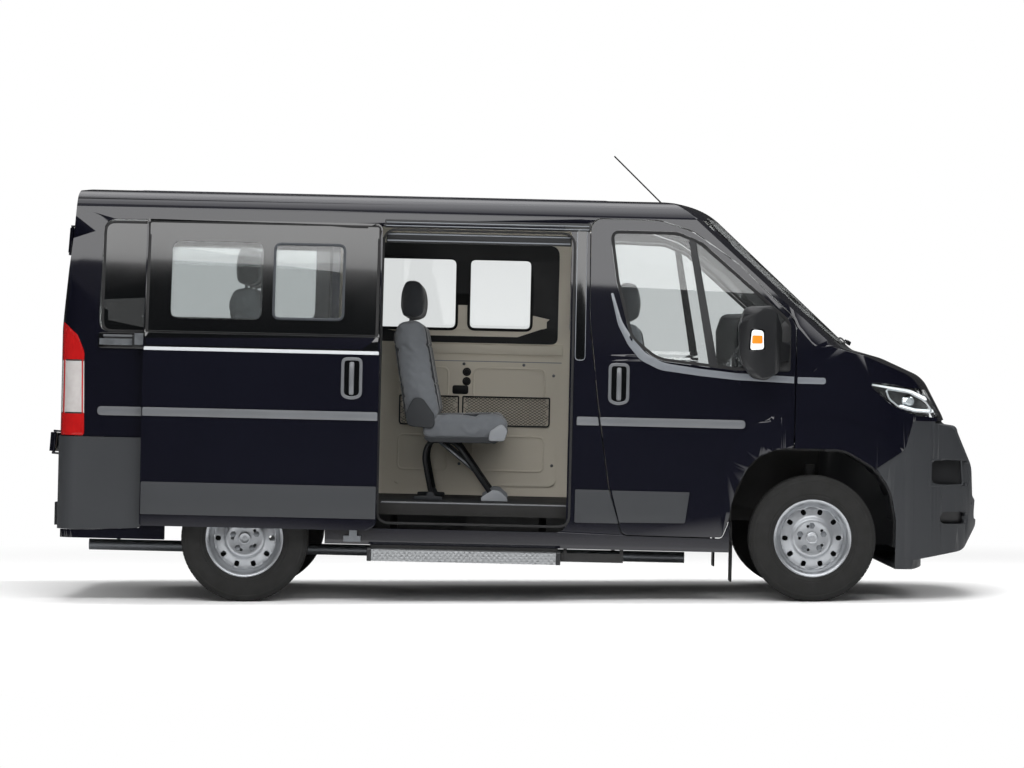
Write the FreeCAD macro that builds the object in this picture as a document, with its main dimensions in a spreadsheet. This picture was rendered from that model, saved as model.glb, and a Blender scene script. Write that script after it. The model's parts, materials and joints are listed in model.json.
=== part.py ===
import FreeCAD, Part
import math
import os
from FreeCAD import Placement, Rotation, Vector

# Minibus with a short wheelbase and a low roof, its right sliding door open.
# X is forward, Y is left, Z is up, the ground is Z = 0 and all sizes are millimetres.
# The body is drawn level and then set nose down by the rake. Wheels and axles stand level.

doc = FreeCAD.newDocument("Minibus")
sheet = doc.addObject("Spreadsheet::Sheet", "Dimensions")

dimensions = {
    "rake": 1.3,                # degrees, nose down, of the unladen body
    "frontAxleX": 1551,
    "wheelbase": 3000,
    "frontTrack": 1810,
    "rearTrack": 1790,
    "tyreRadius": 334,
    "tyreWidth": 205,
    "rimRadius": 205,
    "rimWidth": 166,
    "kingpinY": 765,            # steering axis from the middle
    "halfWidth": 1014,          # body skin at its widest
    "beltHeight": 1330,
    "gutterHeight": 2040,
    "roofHeight": 2163,         # top of the crown
    "skirtHeight": 215,         # underside of the front bumper
    "sillHeight": 285,          # underside of the body sides
    "floorHeight": 503,         # top of the floor
    "floorThickness": 60,
    "tailX": -2450,             # flat of the rear doors
    "noseX": 2481,              # foremost point of the bumper
    "sideWall": 60,             # skin, frame and trim together
    "noseWall": 25,             # wings, bonnet and scuttle
    "bumperWall": 30,
    "glass": 5,
    "seatGap": 0.3,             # between pieces that rest on each other
    "panelGap": 6,              # shut lines
    "slideTravel": 1010,        # how far the sliding door stands back
    "slideOut": 75,             # and how far out from the side
    "frontHingeX": 1440,
    "rearHingeX": -2490,        # foot of the leaning axis that a rear door's hinges share
    "rearHingeY": 800,
    "rearHingeZ": 790,
    "rearHingeLean": 3.62,      # degrees, forward at the top
    "hingePin": 8,
    "hubBore": 30,
    "spindleGap": 0.05,
    "steeringX": 1050,
    "steeringZ": 1230,
    "steeringTilt": 28,
    "bonnetHingeX": 1806,
    "bonnetHingeZ": 1380,
    "archRadius": 415,
    "housingWall": 12,
    "proud": 8,                 # how far the flares and the rear corners stand out of the panels
    "eyeThread": 9.65,          # radius of the towing eyes' M22 sockets
    "boltCircle": 65,           # radius
    "boltHole": 8.25,
    "stepDepth": 220,
    "stepThickness": 60,
}

for row, (alias, value) in enumerate(dimensions.items(), start=1):
    sheet.set(f"A{row}", alias)
    sheet.set(f"B{row}", str(value))
    sheet.setAlias(f"B{row}", alias)
doc.recompute()


def size(alias):
    return float(sheet.get(alias))


def add(kind, name):
    thing = doc.addObject(kind, name)
    thing.Label = name
    return thing


def expression(value):
    return value if isinstance(value, str) else repr(float(value))


planes = {
    "XY": (Rotation(), Vector(0, 0, 1)),
    "XZ": (Rotation(Vector(1, 0, 0), 90), Vector(0, 1, 0)),
    "YZ": (Rotation(Vector(1, 1, 1), 120), Vector(1, 0, 0)),
}


def direction(start, end):
    run = end - start
    return run / run.Length


# Lines and tangent arcs through corners given as (across, up) or (across, up, radius).
def path(corners):
    points = [Vector(corner[0], corner[1], 0) for corner in corners]
    radii = [corner[2] if len(corner) > 2 else 0 for corner in corners]
    count = len(points)
    ends = []
    for index, point in enumerate(points):
        before = direction(point, points[index - 1])
        after = direction(point, points[(index + 1) % count])
        half = before.getAngle(after) / 2
        room = 0.49 * min((point - points[index - 1]).Length, (point - points[(index + 1) % count]).Length)
        reach = min(radii[index] / math.tan(half), room) if radii[index] > 0 else 0
        if reach < 0.01 or abs(half - math.pi / 2) < 1e-4:
            ends.append((point, None, point))
            continue
        radius = reach * math.tan(half)
        inward = direction(Vector(), before + after)
        middle = point + inward * (radius / math.sin(half) - radius)
        ends.append((point + before * reach, middle, point + after * reach))
    edges = []
    for index, (start, middle, end) in enumerate(ends):
        if middle is not None:
            edges.append(Part.Arc(start, middle, end))
        following = ends[(index + 1) % count][0]
        if (following - end).Length > 0.01:
            edges.append(Part.LineSegment(end, following))
    return edges


# The same corners with every side moved inwards, or outwards where inset is negative.
def movedIn(corners, inset):
    count = len(corners)
    area = 0
    for index in range(count):
        here = corners[index]
        there = corners[(index + 1) % count]
        area += here[0] * there[1] - there[0] * here[1]
    turn = 1 if area > 0 else -1
    sides = []
    for index in range(count):
        here = corners[index]
        there = corners[(index + 1) % count]
        across = there[0] - here[0]
        up = there[1] - here[1]
        length = math.hypot(across, up)
        across /= length
        up /= length
        sides.append((here[0] - up * turn * inset, here[1] + across * turn * inset, across, up))
    result = []
    for index in range(count):
        first = sides[index - 1]
        second = sides[index]
        bend = first[2] * second[3] - first[3] * second[2]
        run = ((second[0] - first[0]) * second[3] - (second[1] - first[1]) * second[2]) / bend
        radius = corners[index][2] if len(corners[index]) > 2 else 0
        if radius > 0 and inset:
            radius = max(radius - math.copysign(inset, bend * turn * inset), 2)
        result.append((first[0] + first[2] * run, first[1] + first[3] * run, radius))
    return result


def mirrored(half):
    return half + [(-corner[0],) + tuple(corner[1:]) for corner in reversed(half) if corner[0] != 0]


def outline(name, plane, corners):
    sketch = add("Sketcher::SketchObject", name + "Outline")
    sketch.Placement = Placement(Vector(), planes[plane][0])
    sketch.addGeometry(path(corners), False)
    return sketch


def prism(name, plane, corners, start, end):
    solid = add("Part::Extrusion", name)
    solid.Base = outline(name, plane, corners)
    solid.DirMode = "Custom"
    solid.Dir = planes[plane][1]
    solid.Solid = True
    solid.setExpression("LengthFwd", expression(end))
    solid.setExpression("LengthRev", "-(" + expression(start) + ")")
    return solid


def block(name, across, along, up):
    box = add("Part::Box", name)
    for edge, place, (low, high) in (("Length", "x", across), ("Width", "y", along), ("Height", "z", up)):
        box.setExpression(edge, "(" + expression(high) + ") - (" + expression(low) + ")")
        box.setExpression("Placement.Base." + place, expression(low))
    return box


# A round bar along Y, from one side to the other.
def bar(name, radius, x, z, start, end):
    rod = add("Part::Cylinder", name)
    rod.Placement = Placement(Vector(), Rotation(Vector(1, 0, 0), -90))
    rod.setExpression("Radius", expression(radius))
    rod.setExpression("Height", "(" + expression(end) + ") - (" + expression(start) + ")")
    rod.setExpression("Placement.Base.x", expression(x))
    rod.setExpression("Placement.Base.y", expression(start))
    rod.setExpression("Placement.Base.z", expression(z))
    return rod


# A round bar between two points.
def strut(name, radius, start, end):
    rod = add("Part::Cylinder", name)
    run = Vector(*end) - Vector(*start)
    rod.Placement = Placement(Vector(*start), Rotation(Vector(0, 0, 1), run))
    rod.setExpression("Radius", expression(radius))
    rod.Height = run.Length
    return rod


def cut(name, base, *tools):
    result = base
    for index, tool in enumerate(tools):
        step = add("Part::Cut", name + (str(index + 1) if index < len(tools) - 1 else ""))
        step.Base = result
        step.Tool = tool
        result = step
    return result


def common(name, *shapes):
    result = add("Part::MultiCommon", name)
    result.Shapes = list(shapes)
    return result


def fuse(name, *shapes):
    result = add("Part::MultiFuse", name)
    result.Shapes = list(shapes)
    return result


def group(name, *shapes):
    result = add("Part::Compound", name)
    result.Links = list(shapes)
    return result


def leftOf(name, source):
    result = add("Part::Mirroring", name)
    result.Source = source
    result.Normal = Vector(0, 1, 0)
    return result


raked = Placement(Vector(), Rotation(Vector(0, 1, 0), size("rake")))
nodes = []


def keep(thing, label, place=raked):
    if thing.TypeId in ("Part::Box", "Part::Cylinder"):
        thing = group(thing.Name + "Set", thing)
    thing.Label = label
    if place is not None:
        thing.Placement = place.multiply(thing.Placement)
    nodes.append(thing)
    return thing


halfWidth = size("halfWidth")
belt = size("beltHeight")
gutter = size("gutterHeight")
roof = size("roofHeight")
sill = size("sillHeight")
skirt = size("skirtHeight")
floor = size("floorHeight")
tail = size("tailX")
nose = size("noseX")
gap = size("panelGap")
rest = size("seatGap")
far = 2700                      # past every side of the body


def onBody(x, z):
    point = raked.inverse().multVec(Vector(x, 0, z))
    return point.x, point.z


frontWheel = onBody(size("frontAxleX"), size("tyreRadius"))
rearWheel = onBody(size("frontAxleX") - size("wheelbase"), size("tyreRadius"))


# The body's outer form and forms inside it: what the section along the body, the plan,
# the side view and the turned front have in common.
crownVertex = roof + 13
section = mirrored([
    (halfWidth - 34, skirt, 50), (halfWidth - 11, skirt + 75, 120), (halfWidth, belt - 430, 1500),
    (halfWidth - 8, belt, 700), (halfWidth - 134, roof - 41, 110), (0, crownVertex, 9000),
])
turnX = -1300                   # axis that the front is turned about
screenTop = (985, roof - 42)
screenFoot = (1745, 1424)


def planCorners():
    half = [
        (tail, halfWidth - 54, 90), (tail + 950, halfWidth, 3000), (1300, halfWidth, 2500),
        (2080, halfWidth - 55, 700), (2400, halfWidth - 330, 420), (nose + 25, 250, 900),
    ]
    return half + [(x, -y, radius) for x, y, radius in reversed(half)]


def sideCorners():
    return [
        (tail, 150), (nose + 60, 150), (nose + 60, roof + 60), (tail + 160, roof + 60),
        (tail + 68, roof - 20, 140), (tail + 50, gutter - 180, 400), (tail, belt + 40, 500),
    ]


def frontCorners(bumper):
    top = [
        (turnX, 150), (turnX, roof + 45), (600, roof + 17, 500), (screenTop[0], screenTop[1], 350),
        (screenFoot[0], screenFoot[1], 40), (1800, 1376, 80), (1960, 1334, 300), (2185, 1235, 160),
    ]
    if bumper:
        low = [
            (2300, 985, 20), (2372, 975, 30), (2462, 760, 200), (2470, 600, 30), (nose + 12, 560, 20),
            (nose + 8, 440, 60), (2430, 312, 40), (2200, 262), (2200, 150),
        ]
    else:
        low = [(2312, 1000, 200), (2340, 150)]
    return list(reversed(top + low))


def form(name, inset, bumper=False):
    sectionSolid = prism(name + "Section", "YZ", movedIn(section, inset), -far, far)
    planSolid = prism(name + "Plan", "XY", movedIn(planCorners(), inset), 100, roof + 200)
    sideSolid = prism(name + "Side", "XZ", movedIn(sideCorners(), inset), -far, far)
    turned = add("Part::Revolution", name + "Front")
    corners = movedIn(frontCorners(bumper), inset)
    corners[-1] = (turnX, corners[-1][1])
    corners[-2] = (turnX, corners[-2][1])
    turned.Source = outline(name + "Front", "XZ", corners)
    turned.Axis = Vector(0, 0, 1)
    turned.Base = Vector(turnX, 0, 0)
    turned.Angle = 360
    turned.Solid = True
    return common(name, sectionSolid, planSolid, sideSolid, turned)


outer = form("Outer", 0)
underGlass = form("UnderGlass", size("glass") + rest)
behindNose = form("BehindNose", size("noseWall"))
inner = form("Inner", size("sideWall"))
bumperOuter = form("BumperOuter", 0, bumper=True)
bumperInner = form("BumperInner", size("bumperWall"), bumper=True)
proud = form("ProudForm", -size("proud"))

sideShell = cut("SideShell", outer, inner)
noseShell = cut("NoseShell", outer, behindNose)
glassSkin = cut("GlassSkin", outer, form("GlassBack", size("glass")))
bumperShell = cut("BumperShell", bumperOuter, bumperInner)

# Outlines in the side view.
doorHingeX = size("frontHingeX")
frontDoorCorners = [
    (341, gutter - 8, 60), (700, gutter - 10, 200), (880, gutter - 65, 200), (1130, 1803, 100),
    (1407, 1540, 90), (doorHingeX - 8, 1480), (doorHingeX - 8, 842, 20), (1334, 832, 80), (1215, 775, 150),
    (1127, 616, 200), (1090, 430, 60), (1062, 362, 20), (537, 366, 40), (463, 611, 300),
    (394, 1074, 600), (345, 1500, 600),
]
frontGlassCorners = [
    (440, gutter - 65, 50), (800, gutter - 66, 150), (930, 1920, 100), (1385, 1530, 40), (1405, 1490, 20),
    (1405, 1247, 15), (1116, 1246, 300), (700, 1290, 200), (560, 1400, 120), (480, 1700, 300),
]
slideFront = 250
slideRear = -994
slideCorners = [
    (slideRear, gutter - 62, 13), (slideFront, gutter - 62, 35), (slideFront, 360, 60), (slideRear, 360, 13),
]
openingCorners = movedIn(slideCorners, 10)
doorWindows = [
    [(-870, 1868, 45), (-384, 1868, 45), (-384, 1450, 45), (-870, 1450, 45)],
    [(-322, 1868, 45), (44, 1868, 45), (44, 1452, 45), (-322, 1452, 45)],
]
doorPane = [(slideRear + 12, gutter - 75, 40), (slideFront - 12, gutter - 75, 50),
            (slideFront - 12, belt + 45, 30), (slideRear + 12, belt + 45, 30)]
quarterPane = [(-2235, gutter - 66, 60), (slideRear - 30, gutter - 66, 40), (slideRear - 30, belt + 45, 40),
               (-2250, belt + 45, 60)]
quarterWindow = movedIn(quarterPane, 55)
frontArchCorners = [
    (1100, 150), (1103, 536, 60), (1178, 722, 60), (1255, 803, 70), (1345, 842, 120), (1700, 842, 160),
    (1872, 745, 200), (1954, 632, 200), (1985, 470, 80), (1985, 150),
]
rearArchX = rearWheel[0]
rearArchCorners = [
    (rearArchX - 425, 150), (rearArchX - 425, 420, 180), (rearArchX - 270, 700, 260),
    (rearArchX + 270, 700, 260), (rearArchX + 425, 420, 180), (rearArchX + 425, 150),
]
flareCorners = [
    (1062, 362), (1066, 772, 60), (1106, 863, 120), (1199, 960, 120), (1330, 1000, 300), (1461, 1011, 500),
    (1726, 993, 500), (1885, 939, 300), (2030, 842), (1872, 700), (1100, 362),
]
wingRear = doorHingeX - 2
lampCorners = [
    (1797, 1206, 30), (1925, 1192, 100), (2053, 1175, 200), (2500, 1150), (2500, 1018), (2216, 1018, 40),
    (2083, 1027, 100), (1949, 1080, 200),
]
tailLampCorners = [
    (tail - 90, 1425), (-2440, 1425, 20), (-2360, 1355, 60), (-2324, 1270, 60), (-2316, 826, 12), (tail - 90, 826),
]
bumperCorners = [
    (2068, 1000, 15), (far, 1000), (far, 200), (1985, 200), (1985, 470, 80), (1954, 632, 200), (1872, 745, 5),
    (2026, 848, 60),
]
bonnetHingeX = size("bonnetHingeX")


def through(name, corners, start=0, end=far):
    return prism(name, "XZ", corners, start, end)


# Every cut of the left side is the right one's mirror image, so both sides use cutters across the whole width.
frontDoorHole = through("FrontDoorHole", movedIn(frontDoorCorners, -gap), -far, far)
frontArch = through("FrontArch", frontArchCorners, -far, far)
rearArch = through("RearArch", rearArchCorners, -far, far)
cornerInside = 830              # lamps and bumper corners end here, beside the hinge posts
tailLampHole = cut("TailLampHole", through("TailLampAll", movedIn(tailLampCorners, -1), -far, far),
                   block("TailLampInside", (-far, 0), (-cornerInside + 1, cornerInside - 1), (700, 1500)))


# The raised band round each front wheel runs over the door's corner and the wing.
flareBand = cut("FlareBand", common("FlareSolid", proud, through("FlareZone", flareCorners, -far, far)), behindNose,
                frontArch)

# Body sides. The wing takes over ahead of the front door, below the scuttle.
sideZone = prism("SideZone", "YZ", [
    (-halfWidth - 100, sill), (-halfWidth + 91, sill), (-halfWidth + 91, 700),
    (-halfWidth + 214, 700), (-halfWidth + 214, gutter), (-halfWidth - 100, gutter),
], -far, 1900)
wingZone = through("WingZone", [
    (wingRear, sill - 60), (far, sill - 60), (far, 1392), (1590, 1392, 20), (1540, 1250, 30), (wingRear, 1236),
], -far, far)
screenCorners = mirrored([(790, 1398, 90), (735, gutter + 22, 110)])
screenHole = prism("ScreenHole", "YZ", movedIn(screenCorners, -rest), 850, 1990)
tailHole = prism("TailHole", "YZ", movedIn([
    (776, 470, 30), (776, 1300, 500), (745, gutter - 45, 90), (-745, gutter - 45, 90), (-776, 1300, 500),
    (-776, 470, 30),
], -gap), -far, -2250)
quarterPaneHole = through("QuarterPaneHole", movedIn(quarterPane, -2), -far, far)
quarterWindowHole = through("QuarterWindowHole", quarterWindow, -far, far)
slideHole = through("SlideHole", openingCorners, -far, 0)
doorPaneHole = through("DoorPaneHole", movedIn(doorPane, -2), -far, far)
outerBand = cut("OuterBand", outer, underGlass)
paneRecess = common("PaneRecess", outerBand, fuse("PaneRecesses", quarterPaneHole, doorPaneHole))
windowHoles = fuse("WindowHoles", *[
    through("Window" + name, corners, -far, far) for name, corners in zip(("Front", "Rear"), doorWindows)])

scuttleRear = 1650
pillarZone = block("PillarZone", (1000, scuttleRear - rest), (-halfWidth + 213, -700), (1392, "Dimensions.gutterHeight"))
headerZ = gutter - 80
tailPostZone = block("TailPostZone", (-far, -2250), (-cornerInside - 1, -700), (466 + rest, headerZ - rest))
sideBlank = common("SideBlank", sideShell, fuse("SideZones", sideZone, pillarZone, tailPostZone))
rearCornerCorners = [
    (tail - 90, 820), (-2006, 820, 10), (-2006, 345, 20), (-2290, 330, 20), (tail - 90, 330),
]
rearCornerHole = cut("RearCornerHole", through("RearCornerAll", movedIn(rearCornerCorners, -2), -far, far),
                     block("RearCornerInside", (-far, 0), (-cornerInside + 2, cornerInside - 2), (200, 900)))

# Both hinges of a rear door turn about one leaning axis. Their parts are drawn upright about it,
# x towards the door and z along the pin, and then leant.
hingeY = size("rearHingeY")
pin = size("hingePin")


def leant(side):
    return Placement(Vector(size("rearHingeX"), side * hingeY, size("rearHingeZ")),
                     Rotation(Vector(0, 1, 0), size("rearHingeLean")))


hinges = (("Low", -55, 45, -24, 46), ("High", 1006, 1138, -14, 27))
posts = []
for name, low, high, back, skin in hinges:
    pinAll = add("Part::Cylinder", "HingePin" + name)
    pinAll.setExpression("Radius", "Dimensions.hingePin")
    pinAll.Height = high - low + 28
    pinAll.Placement.Base.z = low - 14
    posts.append(pinAll)
    for end, foot in (("Foot", low - 14), ("Head", high + 4)):
        posts.append(block("Hinge" + end + name, (-pin, skin), (-12, 12), (foot, foot + 10)))
hingePosts = fuse("HingePosts", *posts)
hingePosts.Placement = leant(-1)
sideBody = cut("SideBody", sideBlank, frontDoorHole, wingZone, screenHole, tailHole, rearArch, frontArch,
               tailLampHole, quarterWindowHole, rearCornerHole)
strikerRing = cut("StrikerRing", through("StrikerOutside", movedIn(frontDoorCorners, -gap - 2), -far, far),
                  through("StrikerInside", movedIn(frontDoorCorners, -rest), -far, far))
striker = common("Striker", strikerRing,
                 block("StrikerZone", (320, 420), (-halfWidth + 6, -halfWidth + 18), (1180, 1230)))
sideBody = fuse("SideWithHinges", sideBody, hingePosts, striker)
quarterRecess = common("QuarterRecess", outerBand, quarterPaneHole)
keep(cut("RightSide", sideBody, slideHole, quarterRecess), "body_side_right")
keep(cut("LeftSide", leftOf("LeftSideBlank", sideBody), windowHoles, paneRecess), "body_side_left")

# The roof reaches down over the rear doors.
roofZone = block("RoofZone", (-far, 1900), (-far, far), ("Dimensions.gutterHeight", roof + 100))
headerZone = block("HeaderZone", (-far, -2250), (-halfWidth + 214 + rest, halfWidth - 214 - rest),
                   (headerZ, gutter + 1))
keep(cut("Roof", common("RoofBlank", sideShell, fuse("RoofZones", roofZone, headerZone)), screenHole, tailHole),
     "roof_panel")

# Bonnet, wings and scuttle come from the thinner front shell.
bonnetHalf = 640
bonnetCorners = mirrored([(bonnetHalf, 1002, 30), (bonnetHalf + 50, 1200, 60), (bonnetHalf + 60, 1500)])
bonnetZone = prism("BonnetZone", "YZ", bonnetCorners, bonnetHingeX, far)
bonnetHole = prism("BonnetHole", "YZ", movedIn(bonnetCorners, -gap), bonnetHingeX - gap, far)
lampHole = cut("LampHole", through("LampAll", movedIn(lampCorners, -rest), -far, far),
               block("LampInside", (0, far), (-bonnetHalf + 60, bonnetHalf - 60), (900, 1400)))
bumperHole = through("BumperHole", movedIn(bumperCorners, -rest), -far, far)
bumperRoom = through("BumperRoom", movedIn(bumperCorners, -gap), -far, far)
bulkheadX = 1600
cowlBase = 1300
cowlHalf = 580
scuttleZone = through("ScuttleZone", [
    (scuttleRear, 1300), (bonnetHingeX - gap, 1300), (bonnetHingeX - gap, 1530), (scuttleRear, 1530),
], -800, 800)
keep(cut("Bonnet", common("BonnetBlank", noseShell, bonnetZone), bumperRoom), "bonnet")
wingBlank = fuse("WingBlank", common("WingPanel", noseShell, wingZone), common("WingFlare", flareBand, wingZone))
keep(cut("Wings", wingBlank, frontArch, bonnetHole, lampHole, bumperHole, scuttleZone, screenHole), "front_wings")
bulkheadPlate = block("BulkheadPlate", (bulkheadX, bulkheadX + 25), (-halfWidth, halfWidth),
                      ("Dimensions.floorHeight - Dimensions.floorThickness", cowlBase + 1))
fitNose = form("FitNose", size("noseWall") + rest)
bulkhead = cut("Bulkhead", common("BulkheadFitted", bulkheadPlate, fitNose), frontArch)
scuttle = cut("Scuttle", common("ScuttleBlank", noseShell, scuttleZone), screenHole)
cowlShelf = block("CowlShelf", (bulkheadX, scuttleRear + 50), (-cowlHalf, cowlHalf), (cowlBase, cowlBase + 40))
cowlBox = common("CowlBox", behindNose, block("CowlBoxZone", (scuttleRear + 40, bonnetHingeX - gap),
                                              (-cowlHalf, cowlHalf), (cowlBase, 1500)))
bonnetRest = common("BonnetRest", fitNose, block("BonnetRestZone", (bonnetHingeX - gap - 1, bonnetHingeX + 35),
                                                 (-cowlHalf, cowlHalf), (cowlBase, 1500)))
keep(fuse("BulkheadAndScuttle", bulkhead, scuttle, cowlShelf, cowlBox, bonnetRest), "bulkhead")

lampBlank = common("LampBlank", noseShell, through("LampSolid", lampCorners, -far, far))
keep(cut("Lamps", lampBlank, block("LampMiddle", (0, far), (-bonnetHalf + 55, bonnetHalf - 55), (900, 1400)),
         bonnetHole, bumperHole), "headlamps")

# Bumper with the mouths that the grille and the fog lamps sit in.
grilleCorners = mirrored([(470, 770, 40), (560, 950, 40)])
mouthCorners = mirrored([(500, 470, 40), (440, 620, 40)])
fogCorners = [(640, 455, 30), (830, 455, 30), (830, 520, 30), (640, 520, 30)]
intakeCorners = [(640, 655, 20), (870, 668, 30), (870, 800, 30), (640, 790, 20)]


def mouth(name, corners):
    return prism(name, "YZ", corners, 2050, far)


bumperBlank = common("BumperBlank", bumperShell, through("BumperZone", bumperCorners, -far, far))
fogHole = mouth("FogHole", fogCorners)
intakeHole = mouth("IntakeHole", intakeCorners)
eyeThread = size("eyeThread")
eyeSocket = common("EyeSocket", bumperOuter, strut("EyeTube", 20, (2300, -570, 560), (2500, -570, 560)))
keep(cut("BumperCut", fuse("BumperWithSocket", bumperBlank, eyeSocket), mouth("GrilleHole", grilleCorners),
         mouth("MouthHole", mouthCorners), fogHole, intakeHole, leftOf("FogHoleRight", fogHole),
         leftOf("IntakeHoleRight", intakeHole), strut("EyeBore", eyeThread, (2200, -570, 560), (2600, -570, 560))),
     "front_bumper")
grilleBack = form("GrilleBack", size("bumperWall") + 12, bumper=True)
grilleZone = prism("GrilleZone", "YZ", movedIn(grilleCorners, -20), 2150, far)
slots = fuse("Slots", *[
    block(f"Slot{index}", (2150, far), (-440, 440), (783 + 36 * index, 803 + 36 * index)) for index in range(5)])
keep(cut("GrilleCut", common("GrilleBlank", cut("GrilleBand", bumperInner, grilleBack), grilleZone), slots),
     "front_grille")

# Glass.
screenBand = common("ScreenBand", glassSkin, prism("ScreenSolid", "YZ", screenCorners, 850, 1990))
keep(screenBand, "windscreen")
quarterGlass = common("QuarterGlass", glassSkin, through("QuarterSolid", quarterPane, -far, far))
leftGlass = common("LeftGlass", glassSkin, through("LeftPaneSolid", doorPane, 0, far))
keep(group("FixedGlass", quarterGlass, leftGlass), "side_glass")

# Front doors with their own glass, and the left ones as mirror images.
doorSolid = through("DoorSolid", frontDoorCorners, -far, -600)
doorBlank = fuse("DoorBlank", common("DoorPanel", sideShell, doorSolid), common("DoorFlare", flareBand, doorSolid))
doorGlassHole = through("DoorGlassHole", movedIn(frontGlassCorners, -1), -far, -600)
frontDoor = keep(cut("FrontDoorCut", doorBlank, doorGlassHole), "front_door_right")
frontGlass = keep(common("FrontDoorPane", glassSkin, through("FrontGlassSolid", frontGlassCorners, -far, -600)),
                  "front_glass_right")
mirrorCorners = [(1150, 1580, 45), (1300, 1588, 40), (1346, 1463, 90), (1335, 1245, 40), (1263, 1196, 40),
                 (1195, 1206, 60), (1128, 1300, 80), (1120, 1480, 90)]
mirrorPlan = [(1095, -1262, 30), (1180, -1262, 70), (1350, -1215, 70), (1380, -1080, 60), (1112, -1080, 15)]
mirrorFront = [(-1254, 1180, 60), (-1080, 1180, 40), (-1080, 1600, 40), (-1254, 1600, 60)]
mirrorBody = common("MirrorBody", through("MirrorSide", mirrorCorners, -1300, -1050),
                    prism("MirrorPlan", "XY", mirrorPlan, 1150, 1650), prism("MirrorFront", "YZ", mirrorFront, 1000, 1450))
mirrorArm = prism("MirrorArm", "XY", [(1255, -1130), (1345, -1130), (1422, -halfWidth + 60), (1330, -halfWidth + 60)],
                  1300, 1400)
besideDoor = group("BesideDoor", outer)
besideDoor.Placement.Base.y = -rest
mirror = keep(cut("MirrorCut", fuse("MirrorAll", mirrorBody, mirrorArm), besideDoor), "mirror_right")
keep(leftOf("FrontDoorLeft", frontDoor), "front_door_left", None)
keep(leftOf("FrontGlassLeft", frontGlass), "front_glass_left", None)
keep(leftOf("MirrorLeft", mirror), "mirror_left", None)

# Rear doors, with the hinge leaves outside the skin.
rearDoorCorners = [
    (gap, 480, 10), (770, 480, 30), (770, 1300, 500), (739, gutter - 51, 85), (gap, gutter - 51, 10),
]
rearGlassCorners = [(130, 1380, 60), (690, 1380, 60), (665, 1880, 70), (130, 1880, 60)]
rearZone = prism("RearDoorZone", "YZ", rearDoorCorners, -far, -2250)
rearPaneHole = prism("RearPaneHole", "YZ", movedIn(rearGlassCorners, -1), -far, -2250)
leaves = []
for name, low, high, back, skin in hinges:
    leaves.append(block("Leaf" + name, (back, pin), (-65, -pin - rest), (low, high)))
    leaves.append(block("LeafFoot" + name, (pin - 1, skin + 12), (-65, -48), (low, high)))
hingeLeaves = fuse("HingeLeaves", *leaves)
hingeLeaves.Placement = leant(1)
rearDoorPanel = cut("RearDoorPanel", common("RearDoorBlank", sideShell, rearZone), rearPaneHole)
rearDoor = keep(fuse("RearDoorAll", rearDoorPanel, hingeLeaves), "rear_door_left")
rearGlass = keep(common("RearPane", glassSkin, prism("RearPaneSolid", "YZ", rearGlassCorners, -far, -2250)),
                 "rear_glass_left")
keep(leftOf("RearDoorRight", rearDoor), "rear_door_right", None)
keep(leftOf("RearGlassRight", rearGlass), "rear_glass_right", None)

# Sliding door, drawn shut and then set back and out to where it stands open.
slidOpen = raked.multiply(Placement(Vector(-size("slideTravel"), -size("slideOut"), 0), Rotation()))
slideBlank = common("SlideBlank", sideShell, through("SlideSolid", slideCorners, -far, -600))
slideRecess = common("SlideRecess", outerBand, through("SlidePaneHole", movedIn(doorPane, -1), -far, -600))
slideHoles = fuse("SlideWindows", *[
    through("SlideWindow" + name, corners, -far, -600) for name, corners in zip(("Front", "Rear"), doorWindows)])
keep(cut("SlideCut", slideBlank, slideRecess, slideHoles), "sliding_door", slidOpen)
keep(common("SlidePane", glassSkin, through("SlidePaneSolid", doorPane, -far, -600)), "sliding_door_glass", slidOpen)
railY = -halfWidth
keep(group("Rails",
           block("MiddleRail", (-2240, -1030), (railY - 3, railY + 6), (belt - 22, belt + 10)),
           block("MiddleArm", (-2050, -2004.3), (railY - 61, railY - 3.3), (belt - 20, belt + 40)),
           fuse("LowerArm", block("LowerArmPlate", (-930, -840), (railY - 46, railY + 10), (300, 330)),
                block("LowerArmFoot", (-900, -860), (railY - 46, railY - 6), (330, 359.7)))), "door_rails")

# Tail lamps and rear bumper.
tailBlank = common("TailBlank", sideShell, through("TailSolid", tailLampCorners, -far, far))
keep(cut("TailLamps", tailBlank, block("TailMiddle", (-far, 0), (-cornerInside, cornerInside), (700, 1500))), "tail_lamps")
rearCorners = cut("RearCorners",
                  common("RearCornerBlank", cut("RearCornerShell", proud, inner),
                         through("RearCornerZone", rearCornerCorners, -far, far)),
                  block("RearCornerMiddle", (-far, 0), (-cornerInside, cornerInside), (200, 900)))
rearBeam = cut("RearBeam", block("RearBeamBlank", (-2478, tail + 62), (-cornerInside - 2, cornerInside + 2), (345, 466)),
               strut("RearEyeBore", eyeThread, (-2600, -560, 405), (-2300, -560, 405)))
keep(fuse("RearBumper", rearCorners, rearBeam), "rear_bumper")

# Floor with its wheel housings.
floorTop = size("floorHeight")
floorPlate = block("FloorPlate", (tail + 65, 1599.7), (-halfWidth + 92, halfWidth - 92),
                   ("Dimensions.floorHeight - Dimensions.floorThickness", "Dimensions.floorHeight"))
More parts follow.
